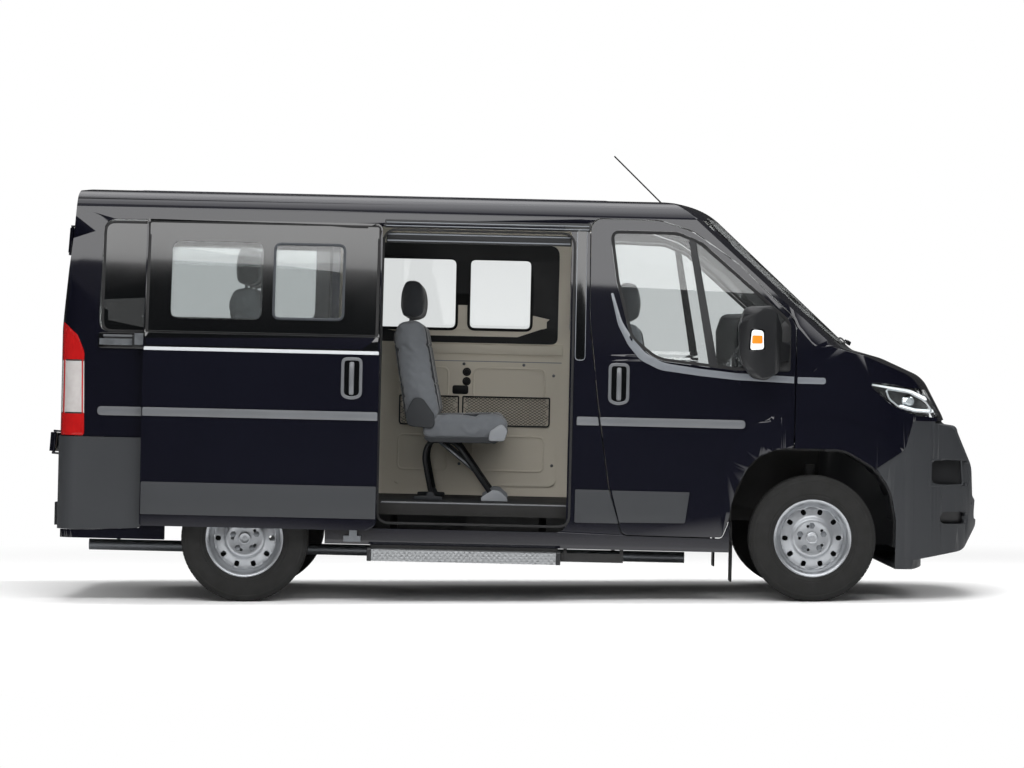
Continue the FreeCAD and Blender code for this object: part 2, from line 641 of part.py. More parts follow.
# Front housings follow the arch. The floor carries their rear parts, the liners the rest.
frontCheek = 573                # inner face of the wall beside the engine
rearCheek = 620
wall = size("housingWall")
archFit = movedIn(frontArchCorners, rest)
archInside = movedIn(frontArchCorners, rest + wall)
housings = []
hollows = []
linerShells = []
for side, sign in (("Right", -1), ("Left", 1)):
    frontSolid = through("FrontHousing" + side, archFit, *sorted((sign * frontCheek, sign * (halfWidth - 25))))
    frontHollow = through("FrontHollow" + side, archInside, *sorted((sign * (frontCheek + wall), sign * far)))
    linerShells.append(cut("LinerShell" + side, frontSolid, frontHollow))
    low, high = sorted((sign * rearCheek, sign * (halfWidth - 92)))
    housings += [frontSolid, bar("RearHousing" + side, "Dimensions.archRadius + Dimensions.housingWall",
                                 *rearWheel, low, high)]
    low, high = sorted((sign * (rearCheek + wall), sign * far))
    hollows += [frontHollow, bar("RearHollow" + side, "Dimensions.archRadius", *rearWheel, low, high)]
floorAll = fuse("FloorAll", floorPlate, *housings)
floorTrim = block("FloorTrim", (-far, 1599.7), (-halfWidth + 92, halfWidth - 92),
                  ("Dimensions.floorHeight - Dimensions.floorThickness", roof))
fitInside = form("FitInside", size("sideWall") + rest)
keep(cut("Floor", common("FloorUpper", floorAll, floorTrim, fitInside), *hollows), "floor_pan")
linerZone = block("LinerZone", (1599.7 + 2 * rest, 2000), (-halfWidth, halfWidth), (330, 900))
keep(group("Liners", *[common("Liner" + str(index + 1), shell, fitNose, linerZone)
                       for index, shell in enumerate(linerShells)]), "wheel_arch_liners")


# A seat or bench: cushion, back and head restraints on legs or on a plinth. The seat's height above
# the level it stands on is raised by lift, and heads are the middles of its head restraints.
def seat(name, x, low, high, lift, heads, cushion=512, plinth=False):
    z = floorTop + rest
    top = z + lift
    pieces = [
        through(name + "Cushion", [
            (x, top + 352, 30), (x + 60, top + 335, 20), (x + cushion - 72, top + 335, 60),
            (x + cushion - 4, top + 372, 35), (x + cushion, top + 440, 35), (x + cushion - 42, top + 476, 60),
            (x + 100, top + 462), (x, top + 440),
        ], low, high),
        through(name + "Back", [
            (x + 126, top + 440), (x + 10, top + 985, 30), (x - 20, top + 1002, 25), (x - 130, top + 990, 40),
            (x - 141, top + 900, 200), (x - 60, top + 420, 120), (x, top + 400),
        ], low + 12, high - 12),
    ]
    for index, middle in enumerate(heads):
        pieces.append(through(f"{name}Head{index}", [
            (x - 110, top + 996, 30), (x - 100, top + 1213, 45), (x + 5, top + 1200, 45), (x + 17, top + 1010, 40),
            (x - 30, top + 990, 20),
        ], middle - 130, middle + 130))
    if plinth:
        pieces.append(block(name + "Plinth", (x + 50, x + 430), (low + 40, high - 40), (z, top + 345)))
        return fuse(name, *pieces)
    for side, y in (("Right", low + 60), ("Left", high - 90)):
        pieces += [
            through(name + "Brace" + side, [(x + 20, top + 345), (x + 70, top + 345), (x + 450, z + 10),
                                            (x + 400, z + 10)], y, y + 30),
            through(name + "Leg" + side, [(x + 10, top + 345), (x + 50, top + 345), (x + 100, z + 10),
                                          (x + 60, z + 10)], y, y + 30),
            block(name + "RearFoot" + side, (x - 20, x + 140), (y - 10, y + 40), (z, z + 22)),
            block(name + "FrontFoot" + side, (x + 350, x + 500), (y - 10, y + 40), (z, z + 22)),
        ]
    return fuse(name, *pieces)


keep(group("FrontSeats", seat("DriverSeat", 600, 250, 740, 0, [495], plinth=True),
           seat("PassengerSeat", 600, -760, 90, 0, [-560, -110], plinth=True)), "front_seats")
keep(seat("SecondRow", -569, -220, 780, 0, [0, 280, 560]), "second_row_bench")
keep(seat("ThirdRow", -1452, -590, 590, 150, [-395, 0, 395], cushion=460), "third_row_bench")
steeringTilt = math.radians(size("steeringTilt"))
steeringPoint = Vector(size("steeringX"), 500, size("steeringZ"))
columnRun = Vector(math.sin(steeringTilt), 0, -math.cos(steeringTilt))
dashBody = through("DashBody", [(1180, 1180, 60), (1180, 1000, 60), (1300, 900, 60), (1599.7, 900, 20),
                                (1599.7, 1330, 30), (1300, 1340, 80)], -860, 860)
column = strut("Column", 25, steeringPoint + columnRun * 0.3, steeringPoint + columnRun * 260)
keep(fuse("DashAll", dashBody, column), "dashboard")
trimBand = cut("TrimBand", fitInside, form("TrimInner", size("sideWall") + 14))
keep(common("SideTrim", trimBand, through("SideTrimZone", [
    (-740, 560, 40), (200, 560, 40), (200, 1300, 40), (-740, 1300, 40)], 0, far)), "side_trim")

# Chassis.
kingpinY = size("kingpinY")
towerRadius = 27
wheelZ = size("tyreRadius")
underFloor = floorTop - size("floorThickness")
keep(block("Engine", (1660, 2180), (-345, 345), (underFloor + 0.1, 1050)), "engine_block")
members = [block("Member" + side, (1300, 2330), (y - 35, y + 35), (380, underFloor - 0.2))
           for side, y in (("Right", -365), ("Left", 365))]
subframe = block("Crossmember", (1380, 1720), (-420, 420), (270, 381))
armZ = 275
arms = [strut("WishArm" + side, 20, (frontWheel[0], 400 * sign, armZ),
              (frontWheel[0], (kingpinY - towerRadius - rest) * sign, armZ))
        for side, sign in (("Right", -1), ("Left", 1))]
keep(fuse("Subframe", subframe, *members, *arms), "front_subframe")
rearAxleX = size("frontAxleX") - size("wheelbase")
rearHalf = size("rearTrack") / 2
axleTube = bar("AxleTube", 42, rearWheel[0], rearWheel[1], -rearHalf + 60, rearHalf - 60)
spindle = size("hubBore") - size("spindleGap")
spindles = bar("RearSpindles", spindle, rearWheel[0], rearWheel[1], -rearHalf - 34, rearHalf + 34)
seatZ = underFloor - 0.2
springX = rearWheel[0]
springs = [through("Spring" + side, [
    (springX - 640, seatZ), (springX - 606, seatZ), (springX - 600, 408, 10), (springX, 368, 2500),
    (springX + 600, 408, 10), (springX + 606, seatZ), (springX + 640, seatZ), (springX + 640, 385, 20),
    (springX, 334, 2500), (springX - 640, 385, 20)], low, low + 60)
    for side, low in (("Right", -560), ("Left", 500))]
keep(fuse("RearAxleAll", axleTube, spindles, *springs), "rear_axle")
keep(block("FuelTank", (-300, 700), (150, 700), (270, underFloor - 0.2)), "fuel_tank")
pipe = strut("ExhaustPipe", 30, (900, -250, 222), (-2350, -250, 222))
hangers = [block(f"ExhaustHanger{index}", (x, x + 20), (-256, -244), (240, underFloor - 0.2))
           for index, x in enumerate((500, -700, -2200))]
keep(fuse("ExhaustAll", pipe, *hangers), "exhaust")

# Knuckles, rims and tyres.
frontX = size("frontAxleX")
frontHalf = size("frontTrack") / 2


def knuckle(side, sign):
    carrierLow, carrierHigh = sorted((sign * (kingpinY - 30), sign * (frontHalf - 37)))
    carrier = bar("Carrier" + side, 60, frontX, wheelZ, carrierLow, carrierHigh)
    stubLow, stubHigh = sorted((sign * (kingpinY - 30), sign * (frontHalf + 34)))
    stub = bar("Stub" + side, spindle, frontX, wheelZ, stubLow, stubHigh)
    tower = strut("Strut" + side, towerRadius, (frontX, sign * kingpinY, 218), (frontX, sign * kingpinY, 720))
    return fuse("Knuckle" + side, carrier, stub, tower)


for side, sign in (("right", -1), ("left", 1)):
    keep(knuckle(side, sign), "knuckle_" + side, None)


def turnedBody(label, corners, holes=None):
    body = doc.addObject("PartDesign::Body", label)
    body.Label = label
    origin = {feature.Role: feature for feature in body.Origin.OriginFeatures}
    sketch = body.newObject("Sketcher::SketchObject", label + "Profile")
    sketch.AttachmentSupport = [(origin["XY_Plane"], "")]
    sketch.MapMode = "FlatFace"
    sketch.addGeometry(path(corners), False)
    turned = body.newObject("PartDesign::Revolution", label + "Turned")
    turned.Profile = sketch
    turned.ReferenceAxis = (sketch, ["V_Axis"])
    turned.Angle = 360
    doc.recompute()
    if holes:
        holes(body, origin, label)
    return body


# Ten vents near the rim and five bolt holes on the wheel's bolt circle.
def rimHoles(body, origin, label):
    hole = Part.Circle(Vector(size("boltCircle"), 0, 0), Vector(0, 0, 1), size("boltHole"))
    vent = path([(127, -13, 12), (157, -13, 12), (157, 13, 12), (127, 13, 12)])
    for name, geometry, count in (("Vent", vent, 10), ("Bolt", [hole], 5)):
        sketch = body.newObject("Sketcher::SketchObject", label + name)
        sketch.AttachmentSupport = [(origin["XZ_Plane"], "")]
        sketch.MapMode = "FlatFace"
        sketch.addGeometry(geometry, False)
        pocket = body.newObject("PartDesign::Pocket", label + name + "Pocket")
        pocket.Profile = sketch
        pocket.Midplane = True
        pocket.Length = 2 * size("rimWidth")
        doc.recompute()
        pattern = body.newObject("PartDesign::PolarPattern", label + name + "s")
        pattern.Originals = [pocket]
        pattern.Axis = (origin["Y_Axis"], [""])
        pattern.Angle = 360
        pattern.Occurrences = count
        body.Tip = pattern
        doc.recompute()


rimR = size("rimRadius")
rimHalf = size("rimWidth") / 2
bore = size("hubBore")
rimCorners = [
    (rimR, rimHalf), (rimR, rimHalf - 7), (rimR - 15, rimHalf - 12), (rimR - 15, rimHalf - 35),
    (rimR - 33, rimHalf - 55), (rimR - 33, -rimHalf + 45), (rimR - 15, -rimHalf + 32), (rimR - 15, -rimHalf + 12),
    (rimR, -rimHalf + 7), (rimR, -rimHalf), (rimR - 7, -rimHalf), (rimR - 21, -rimHalf + 14),
    (rimR - 21, -rimHalf + 30), (rimR - 39, -rimHalf + 44), (rimR - 39, 8), (rimR - 60, 16),
    (110, 20), (95, 34), (60, 30), (55, -30), (bore, -30), (bore, 36), (60, 36), (95, 40), (114, 27),
    (rimR - 60, 22),
    (rimR - 39, 16), (rimR - 39, rimHalf - 54), (rimR - 21, rimHalf - 34), (rimR - 21, rimHalf - 14),
    (rimR - 7, rimHalf),
]
tyreHalf = size("tyreWidth") / 2
tyreR = size("tyreRadius")
tyreCorners = [
    (rimR - 14.7, rimHalf - 14), (rimR + 3, rimHalf - 9), (rimR + 48, tyreHalf), (tyreR - 12, tyreHalf - 9),
    (tyreR, tyreHalf - 28), (tyreR, -tyreHalf + 28), (tyreR - 12, -tyreHalf + 9), (rimR + 48, -tyreHalf),
    (rimR + 3, -rimHalf + 9), (rimR - 14.7, -rimHalf + 14),
    (tyreR - 24, -tyreHalf + 30), (tyreR - 24, tyreHalf - 30),
]
for end, x, track in (("front", frontX, size("frontTrack")), ("rear", rearAxleX, size("rearTrack"))):
    for side, sign in (("right", -1), ("left", 1)):
        place = Placement(Vector(x, sign * track / 2, wheelZ), Rotation(Vector(0, 0, 1), 0 if sign > 0 else 180))
        keep(turnedBody(f"rim_{end}_{side}", rimCorners, rimHoles), f"rim_{end}_{side}", place)
        keep(turnedBody(f"tyre_{end}_{side}", tyreCorners), f"tyre_{end}_{side}", place)

# Steering wheel, step, mud flaps and aerial.
ring = add("Part::Torus", "SteeringRing")
ring.Radius1 = 195
ring.Radius2 = 14
spokes = add("Part::Cylinder", "SteeringHub")
spokes.Radius = 70
spokes.Height = 30
spoke = add("Part::Box", "SteeringSpoke")
spoke.Length = 380
spoke.Width = 40
spoke.Height = 14
spoke.Placement.Base = Vector(-190, -20, 4)
tilt = Placement(steeringPoint, Rotation(Vector(0, 1, 0), -size("steeringTilt")))
keep(fuse("SteeringAll", ring, spokes, spoke), "steering_wheel", raked.multiply(tilt))
stepZ = 206
stepTop = stepZ + size("stepThickness")
keep(block("Step", (-800, 210), (-1160, -1160 + size("stepDepth")), (stepZ, stepTop)), "side_step")
runner = block("Runner", (-790, 200), (-1010, -500), (stepTop + rest, sill - rest))
risers = [block(f"Riser{index}", (x, x + 40), (-600, -540), (sill - 1, underFloor - rest))
          for index, x in enumerate((-700, 100))]
guard = block("Guard", (216, 545), (-985, -960), (stepZ + 10, stepTop - 4))
guardPosts = [block(f"GuardPost{index}", (x, x + 18), (-985, -960), (stepTop - 5, sill - 0.3))
              for index, x in enumerate((230, 527))]
keep(group("StepParts", fuse("RunnerAll", runner, *risers), fuse("GuardAll", guard, *guardPosts)), "step_housing")
flap = prism("Flap", "YZ", [(-1000, 130, 20), (-790, 130, 20), (-790, underFloor - 0.2), (-930, underFloor - 0.2),
                            (-930, 350), (-1000, 350, 10)], 1112, 1120)
keep(group("Flaps", flap, leftOf("FlapLeft", flap)), "mud_flaps")
keep(strut("Antenna", 4, (746, 0, roof - 1.7), (476, 0, 2419)), "aerial")

doc.recompute()
for thing in doc.Objects:
    if "Invalid" in thing.State or "Error" in thing.State:
        raise RuntimeError(f"{thing.Label} did not compute")
labels = set()
for thing in nodes:
    shape = thing.Shape
    if shape.isNull() or not shape.isValid() or not shape.Solids:
        raise RuntimeError(f"{thing.Label} is not a valid solid")
    if thing.Label in labels:
        raise RuntimeError(f"{thing.Label} is used twice")
    labels.add(thing.Label)
os.makedirs("parts", exist_ok=True)
for thing in nodes:
    thing.Shape.exportStep(os.path.join("parts", thing.Label + ".step"))
    print(thing.Label, len(thing.Shape.Solids), round(thing.Shape.Volume / 1e6, 2))
print(len(nodes), "sub-parts")
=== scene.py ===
import json
import math

import bpy
from mathutils import Matrix, Vector

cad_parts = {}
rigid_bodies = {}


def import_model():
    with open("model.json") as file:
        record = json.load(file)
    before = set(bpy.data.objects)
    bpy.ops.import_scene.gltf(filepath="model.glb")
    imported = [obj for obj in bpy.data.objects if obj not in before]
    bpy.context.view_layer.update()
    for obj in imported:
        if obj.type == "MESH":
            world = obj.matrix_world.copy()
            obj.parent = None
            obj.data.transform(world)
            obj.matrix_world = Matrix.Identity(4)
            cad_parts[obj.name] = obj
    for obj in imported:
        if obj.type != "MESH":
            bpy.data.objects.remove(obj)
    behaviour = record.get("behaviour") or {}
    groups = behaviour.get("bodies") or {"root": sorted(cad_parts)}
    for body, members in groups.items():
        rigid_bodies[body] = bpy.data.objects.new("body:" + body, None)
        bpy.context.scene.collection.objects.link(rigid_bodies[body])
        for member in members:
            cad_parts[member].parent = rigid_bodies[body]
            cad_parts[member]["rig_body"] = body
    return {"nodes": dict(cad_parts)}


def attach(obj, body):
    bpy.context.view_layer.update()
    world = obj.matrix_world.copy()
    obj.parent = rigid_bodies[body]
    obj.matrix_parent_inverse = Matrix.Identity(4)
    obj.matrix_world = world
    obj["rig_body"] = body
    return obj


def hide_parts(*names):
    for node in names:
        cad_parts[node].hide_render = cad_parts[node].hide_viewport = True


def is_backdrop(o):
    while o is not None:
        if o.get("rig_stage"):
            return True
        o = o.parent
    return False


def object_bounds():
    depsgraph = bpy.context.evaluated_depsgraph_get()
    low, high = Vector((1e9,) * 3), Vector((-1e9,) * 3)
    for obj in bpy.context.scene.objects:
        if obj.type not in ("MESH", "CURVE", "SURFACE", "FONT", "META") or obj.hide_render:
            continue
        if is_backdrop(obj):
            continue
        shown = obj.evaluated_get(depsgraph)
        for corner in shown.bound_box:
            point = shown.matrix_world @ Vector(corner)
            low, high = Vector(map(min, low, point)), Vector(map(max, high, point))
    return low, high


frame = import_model()
cadLow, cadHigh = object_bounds()
scene = bpy.context.scene

# The body is drawn level in millimetres and set nose down by the rake, as in the part.
rakeAngle = math.radians(1.3)
rake = Matrix.Rotation(rakeAngle, 4, "Y")
mm = 0.001
sides = (("right", -1), ("left", 1))
# For the views from the side, the front and above: the axis that runs into the view, and how far out a flat
# outline is drawn before it is laid on the body.
intoView = {"XZ": 1, "YZ": 0, "XY": 2}
drawnAt = {"XZ": 1400, "YZ": 2900, "XY": 2800}
rayTop = 2700                       # height from which a ray looks for the top of the body


def say(stage):
    print("minibus:", stage)


def linear(hexColour, alpha=1.0):
    shares = [int(hexColour[place:place + 2], 16) / 255 for place in (1, 3, 5)]
    return tuple(s / 12.92 if s <= 0.04045 else ((s + 0.055) / 1.055) ** 2.4 for s in shares) + (alpha,)


def addNode(tree, kind, values=None, links=None, **settings):
    node = tree.nodes.new(kind)
    for name, value in settings.items():
        setattr(node, name, value)
    for name, value in (values or {}).items():
        node.inputs[name].default_value = value
    for name, socket in (links or {}).items():
        tree.links.new(socket, node.inputs[name])
    return node


def newMaterial(name):
    material = bpy.data.materials.new(name)
    material.use_nodes = True
    tree = material.node_tree
    tree.nodes.clear()
    output = addNode(tree, "ShaderNodeOutputMaterial")
    return material, tree, output


# A moulded, cast or painted surface: two shades in soft patches, uneven gloss and a fine grain.
def grained(name, colour, second, grainMm, patchMm, rough, grainDepthMm=0.1, metallic=0.0, coat=0.0,
            specular=0.5, sheen=0.0, coatRough=0.04):
    material, tree, output = newMaterial(name)
    place = addNode(tree, "ShaderNodeTexCoord").outputs["Object"]
    patches = addNode(tree, "ShaderNodeTexNoise", {"Scale": 1000 / patchMm, "Detail": 4.0}, {"Vector": place})
    grain = addNode(tree, "ShaderNodeTexNoise", {"Scale": 1000 / grainMm, "Detail": 2.0}, {"Vector": place})
    shade = addNode(tree, "ShaderNodeMix", {6: linear(colour), 7: linear(second)},
                    {0: patches.outputs["Fac"]}, data_type="RGBA")
    gloss = addNode(tree, "ShaderNodeMapRange", {"From Min": 0.3, "From Max": 0.7, "To Min": rough[0],
                                                 "To Max": rough[1]}, {"Value": patches.outputs["Fac"]})
    bump = addNode(tree, "ShaderNodeBump", {"Strength": 0.6, "Distance": grainDepthMm * mm},
                   {"Height": grain.outputs["Fac"]})
    shader = addNode(tree, "ShaderNodeBsdfPrincipled", {
        "Metallic": metallic, "Coat Weight": coat, "Coat Roughness": coatRough,
        "Specular IOR Level": specular,
        "Sheen Weight": sheen}, {"Base Color": shade.outputs[2], "Roughness": gloss.outputs["Result"],
                                 "Normal": bump.outputs["Normal"]})
    tree.links.new(shader.outputs["BSDF"], output.inputs["Surface"])
    return material


# Clear or tinted glass that lets the lamps through, so the cabin isn't dark.
def clear(name, colour, rough=0.0, ior=1.45, wavesMm=400.0):
    material, tree, output = newMaterial(name)
    place = addNode(tree, "ShaderNodeTexCoord").outputs["Object"]
    waves = addNode(tree, "ShaderNodeTexNoise", {"Scale": 1000 / wavesMm, "Detail": 1.0}, {"Vector": place})
    bump = addNode(tree, "ShaderNodeBump", {"Strength": 0.05, "Distance": 0.3 * mm},
                   {"Height": waves.outputs["Fac"]})
    glass = addNode(tree, "ShaderNodeBsdfPrincipled", {
        "Base Color": linear(colour), "Roughness": rough, "IOR": ior, "Transmission Weight": 1.0},
        {"Normal": bump.outputs["Normal"]})
    through = addNode(tree, "ShaderNodeBsdfTransparent", {"Color": linear(colour)})
    ray = addNode(tree, "ShaderNodeLightPath")
    both = addNode(tree, "ShaderNodeMixShader", {},
                   {0: ray.outputs["Is Shadow Ray"], 1: glass.outputs["BSDF"],
                                                     2: through.outputs["BSDF"]})
    tree.links.new(both.outputs["Shader"], output.inputs["Surface"])
    return material


say("materials")
finishes = {
    # two-layer body paint: near-black blue under clear lacquer, a trace of orange peel
    "paint": grained("lacqueredBodyPaint", "#04040d", "#050612", 9, 900, (0.4, 0.5), 0.02, coat=1.0, specular=0.08),
    # moulded polypropylene of the bumpers and rub strips, dark grey with an etched grain
    "plastic": grained("grainedPolypropylene", "#222427", "#2a2c2f", 2.5, 400, (0.5, 0.66), 0.25),
    "blackPlastic": grained("blackMouldedPlastic", "#101113", "#17181a", 2.5, 300, (0.38, 0.55), 0.15),
    "glossBlack": grained("blackGlazingBorder", "#050607", "#08090a", 6, 500, (0.06, 0.12), 0.01, coat=0.5),
    # satin grey of the door handles, sills and rail lines; on the waist strips the same light grey is a painted
    # highlight, standing for the lit lower ledge of the body's swage line
    "greyMouldingAndHighlight": grained("satinGreyMouldingAndCreaseHighlight", "#505255", "#5b5d60", 2, 300, (0.34, 0.46), 0.05, coat=0.3),
    "rubber": grained("doorSealRubber", "#0c0c0d", "#141415", 2, 90, (0.6, 0.8), 0.2),
    "tyre": grained("tyreRubber", "#131313", "#1d1d1c", 4, 60, (0.68, 0.88), 0.4, specular=0.35),
    "wheel": grained("silverWheelPaint", "#9a9da1", "#a9acb0", 3, 80, (0.3, 0.42), 0.05, metallic=0.75, coat=0.4),
    "iron": grained("paintedCastIron", "#131415", "#201f1e", 5, 60, (0.55, 0.8), 0.6),
    "steel": grained("galvanisedSteel", "#6d7074", "#84888c", 6, 30, (0.35, 0.55), 0.1, metallic=0.9),
    "alloy": grained("castAluminium", "#84878a", "#95989b", 3, 50, (0.42, 0.6), 0.4, metallic=0.85),
    "beige": grained("beigeWallTrim", "#cdc6b7", "#d6cfc1", 3, 500, (0.55, 0.7), 0.2),
    "headliner": grained("greyHeadlining", "#a9a8a2", "#b3b2ac", 2, 120, (0.85, 0.95), 0.5, sheen=0.2),
    "floorMat": grained("ribbedRubberFloor", "#17181a", "#202124", 8, 150, (0.6, 0.78), 0.6),
    "dash": grained("grainedDashTop", "#1b1c1e", "#232427", 2.5, 200, (0.55, 0.7), 0.25),
    "fabric": grained("charcoalSeatFabric", "#1f2124", "#2b2d31", 3, 40, (0.85, 0.97), 0.6, sheen=0.3),
    "tailRed": grained("redTailLampAcrylic", "#8e0f10", "#a81414", 14, 60, (0.08, 0.14), 0.25, coat=1.0,
                       specular=0.6),
    "tailWhite": grained("clearTailLampAcrylic", "#b9b4b2", "#cfcbc9", 12, 40, (0.08, 0.14), 0.25, coat=1.0,
                         metallic=0.3),
    "chrome": grained("vacuumChrome", "#b8bbbe", "#c6c9cc", 3, 60, (0.06, 0.12), 0.01, metallic=1.0),
    "lampLight": grained("frostedLightGuide", "#dfe3e6", "#eef1f3", 3, 60, (0.3, 0.4), 0.02),
    "orange": grained("orangeTurnLens", "#d9761a", "#e8882a", 4, 30, (0.15, 0.25), 0.1, coat=0.8),
    "blank": grained("blankPlateWhite", "#d9dad8", "#e2e3e1", 2, 200, (0.35, 0.45), 0.02, coat=0.3),
    "net": grained("blackNetCord", "#0d0d0e", "#161617", 1.5, 20, (0.8, 0.95), 0.2),
    "bolster": grained("greySeatFabric", "#585b5f", "#66696d", 3, 40, (0.85, 0.97), 0.6, sheen=0.3),
    "seatShell": grained("seatShellPlastic", "#25272a", "#2e3033", 2.5, 200, (0.5, 0.66), 0.2),
    "hingeCover": grained("lightGreyPlastic", "#7d8084", "#8a8d91", 2.5, 200, (0.45, 0.6), 0.15),
    "underseal": grained("blackUnderseal", "#0f0f10", "#1a1917", 12, 200, (0.7, 0.9), 1.0),
    # light grey strip under the black upper band: a painted highlight that stands for the shine along the shoulder
    # crease
    "beltHighlightStrip": grained("paintedBeltHighlight", "#a9acaf", "#b6b9bc", 2, 500, (0.25, 0.35), 0.02, coat=0.5),
    "windowTrim": grained("satinWindowTrim", "#5c6065", "#686c71", 2, 500, (0.3, 0.42), 0.03, coat=0.4),
    "paneFrame": grained("anodisedPaneFrame", "#2c2f33", "#383b3f", 2, 200, (0.3, 0.45), 0.03, metallic=0.5),
    "glass": clear("clearVehicleGlass", "#dde0e0"),
    "darkGlass": clear("tintedRearGlass", "#7f8a88"),
    "lampClear": clear("clearLampPolycarbonate", "#f1f4f4", ior=1.2),
}


def treadPlate():
    # pressed aluminium tread plate, with crossed bars that stand proud
    material, tree, output = newMaterial("aluminiumTreadPlate")
    place = addNode(tree, "ShaderNodeTexCoord").outputs["Object"]
    heights = []
    for turn in (45, -45):
        leaning = addNode(tree, "ShaderNodeMapping",
                          {"Rotation": (0, math.radians(turn), math.radians(turn))}, {"Vector": place})
        bars = addNode(tree, "ShaderNodeTexWave", {"Scale": 22.0, "Distortion": 0.0},
                       {"Vector": leaning.outputs["Vector"]},
                       bands_direction="X")
        heights.append(bars.outputs["Fac"])
    both = addNode(tree, "ShaderNodeMath", {}, {0: heights[0], 1: heights[1]}, operation="MULTIPLY")
    bump = addNode(tree, "ShaderNodeBump", {"Strength": 0.8, "Distance": 1.5 * mm},
                   {"Height": both.outputs[0]})
    worn = addNode(tree, "ShaderNodeTexNoise", {"Scale": 12.0, "Detail": 5.0}, {"Vector": place})
    gloss = addNode(tree, "ShaderNodeMapRange", {"To Min": 0.3, "To Max": 0.55},
                    {"Value": worn.outputs["Fac"]})
    shader = addNode(tree, "ShaderNodeBsdfPrincipled", {"Base Color": linear("#9a9c9e"), "Metallic": 0.85},
                     {"Roughness": gloss.outputs["Result"], "Normal": bump.outputs["Normal"]})
    tree.links.new(shader.outputs["BSDF"], output.inputs["Surface"])
    return material


finishes["treadPlate"] = treadPlate()


def nothingSelected():
    if bpy.context.object is not None and bpy.context.object.mode != "OBJECT":
        bpy.ops.object.mode_set(mode="OBJECT")
    bpy.ops.object.select_all(action="DESELECT")


def alone(piece):
    nothingSelected()
    piece.select_set(True)
    bpy.context.view_layer.objects.active = piece


def copyOf(source, name):
    piece = bpy.data.objects.new(name, source.data.copy())
    scene.collection.objects.link(piece)
    return piece


def applied(piece, kind, **settings):
    modifier = piece.modifiers.new(kind.lower(), kind)
    for key, value in settings.items():
        setattr(modifier, key, value)
    alone(piece)
    bpy.ops.object.modifier_apply(modifier=modifier.name)


def merged(piece, distance=0.00002):
    alone(piece)
    bpy.ops.object.mode_set(mode="EDIT")
    bpy.ops.mesh.select_all(action="SELECT")
    bpy.ops.mesh.remove_doubles(threshold=distance)
    bpy.ops.object.mode_set(mode="OBJECT")


def smoothed(piece, angle=32):
    alone(piece)
    bpy.ops.object.shade_smooth_by_angle(angle=math.radians(angle))


# Each face takes one of the piece's finishes by where it lies on the level body and which way it faces.
def coloured(piece, names, rule=None):
    piece.data.materials.clear()
    for name in names:
        piece.data.materials.append(finishes[name])
    if rule:
        level = rake.inverted()
        turn = level.to_3x3()
        for face in piece.data.polygons:
            face.material_index = rule(level @ face.center * 1000, turn @ face.normal)


# Finishing that every new piece gets: its finish and what it rides on.
def finished(piece, finish, body="root", angle=40):
    piece.data.materials.clear()
    piece.data.materials.append(finishes[finish])
    smoothed(piece, angle)
    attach(piece, body)
    return piece


def editing(piece, action="SELECT"):
    alone(piece)
    bpy.ops.object.mode_set(mode="EDIT")
    bpy.ops.mesh.select_all(action=action)


def done():
    bpy.ops.object.mode_set(mode="OBJECT")


def outwards(piece):
    editing(piece)
    bpy.ops.mesh.normals_make_consistent(inside=False)
    done()


def raked(piece):
    piece.data.transform(rake)
    piece.data.update()
    return piece


# The points that round a corner between two sides, or the corner alone where it has no radius.
arcSteps = 6
arcShare = 0.48                     # most of a side that one arc may take


def arc(before, point, after, reach):
    reach = min(reach, before.length * arcShare, after.length * arcShare)
    start = point + before.normalized() * reach
    end = point + after.normalized() * reach
    shares = [step / arcSteps for step in range(arcSteps + 1)] if reach else [0]
    return [start.lerp(point, share).lerp(point.lerp(end, share), share) for share in shares]


# Points of a closed outline in millimetres: corners are (across, up) or (across, up, radius), and
# long sides are divided so that a plate can follow a curved panel.
def rounded(corners, longest=60):
    points = [Vector(corner[:2]) for corner in corners]
    radii = [corner[2] if len(corner) > 2 else 0 for corner in corners]
    turns = []
    for index, point in enumerate(points):
        before = points[index - 1] - point
        after = points[(index + 1) % len(points)] - point
        reach = radii[index] / math.tan(before.angle(after) / 2) if radii[index] else 0
        turns.append(arc(before, point, after, reach))
    outline = []
    for index, turn in enumerate(turns):
        outline += turn
        following = turns[(index + 1) % len(turns)][0]
        side = following - turn[-1]
        pieces = int(side.length // longest) + 1
        outline += [turn[-1] + side * k / pieces for k in range(1, pieces)]
    return outline


# Corners of an upright rectangle, from its lower left: one radius for all, or one below and one above.
def box(left, right, low, high, radius, upper=None):
    top = radius if upper is None else upper
    return [(left, low, radius), (right, low, radius), (right, high, top), (left, high, top)]


# A flat face with a rounded outline: "XZ" as seen from the side, "YZ" from the front, "XY" from above.
def flat(name, corners, plane="XZ", at=0.0, longest=60):
    outline = rounded(corners, longest)
    nothingSelected()
    bpy.ops.mesh.primitive_circle_add(vertices=len(outline), radius=1, fill_type="NGON")
    piece = bpy.context.object
    piece.name = name
    piece.data.name = name
    for vertex, point in zip(piece.data.vertices, outline):
        places = {"XZ": (point.x, at, point.y), "YZ": (at, point.x, point.y), "XY": (point.x, point.y, at)}
        vertex.co = Vector(places[plane]) * mm
    piece.data.update()
    return piece


# Cuts across a flat face every so many millimetres, so that it can bend with a curved panel.
def divided(piece, every, axis):
    editing(piece)
    places = [vertex.co[axis] for vertex in piece.data.vertices]
    low, high = min(places), max(places)
    count = int((high - low) / (every * mm))
    for step in range(1, count + 1):
        point = Vector((0, 0, 0))
        point[axis] = low + (high - low) * step / (count + 1)
        normal = Vector((0, 0, 0))
        normal[axis] = 1
        bpy.ops.mesh.select_all(action="SELECT")
        bpy.ops.mesh.bisect(plane_co=point, plane_no=normal)
    done()


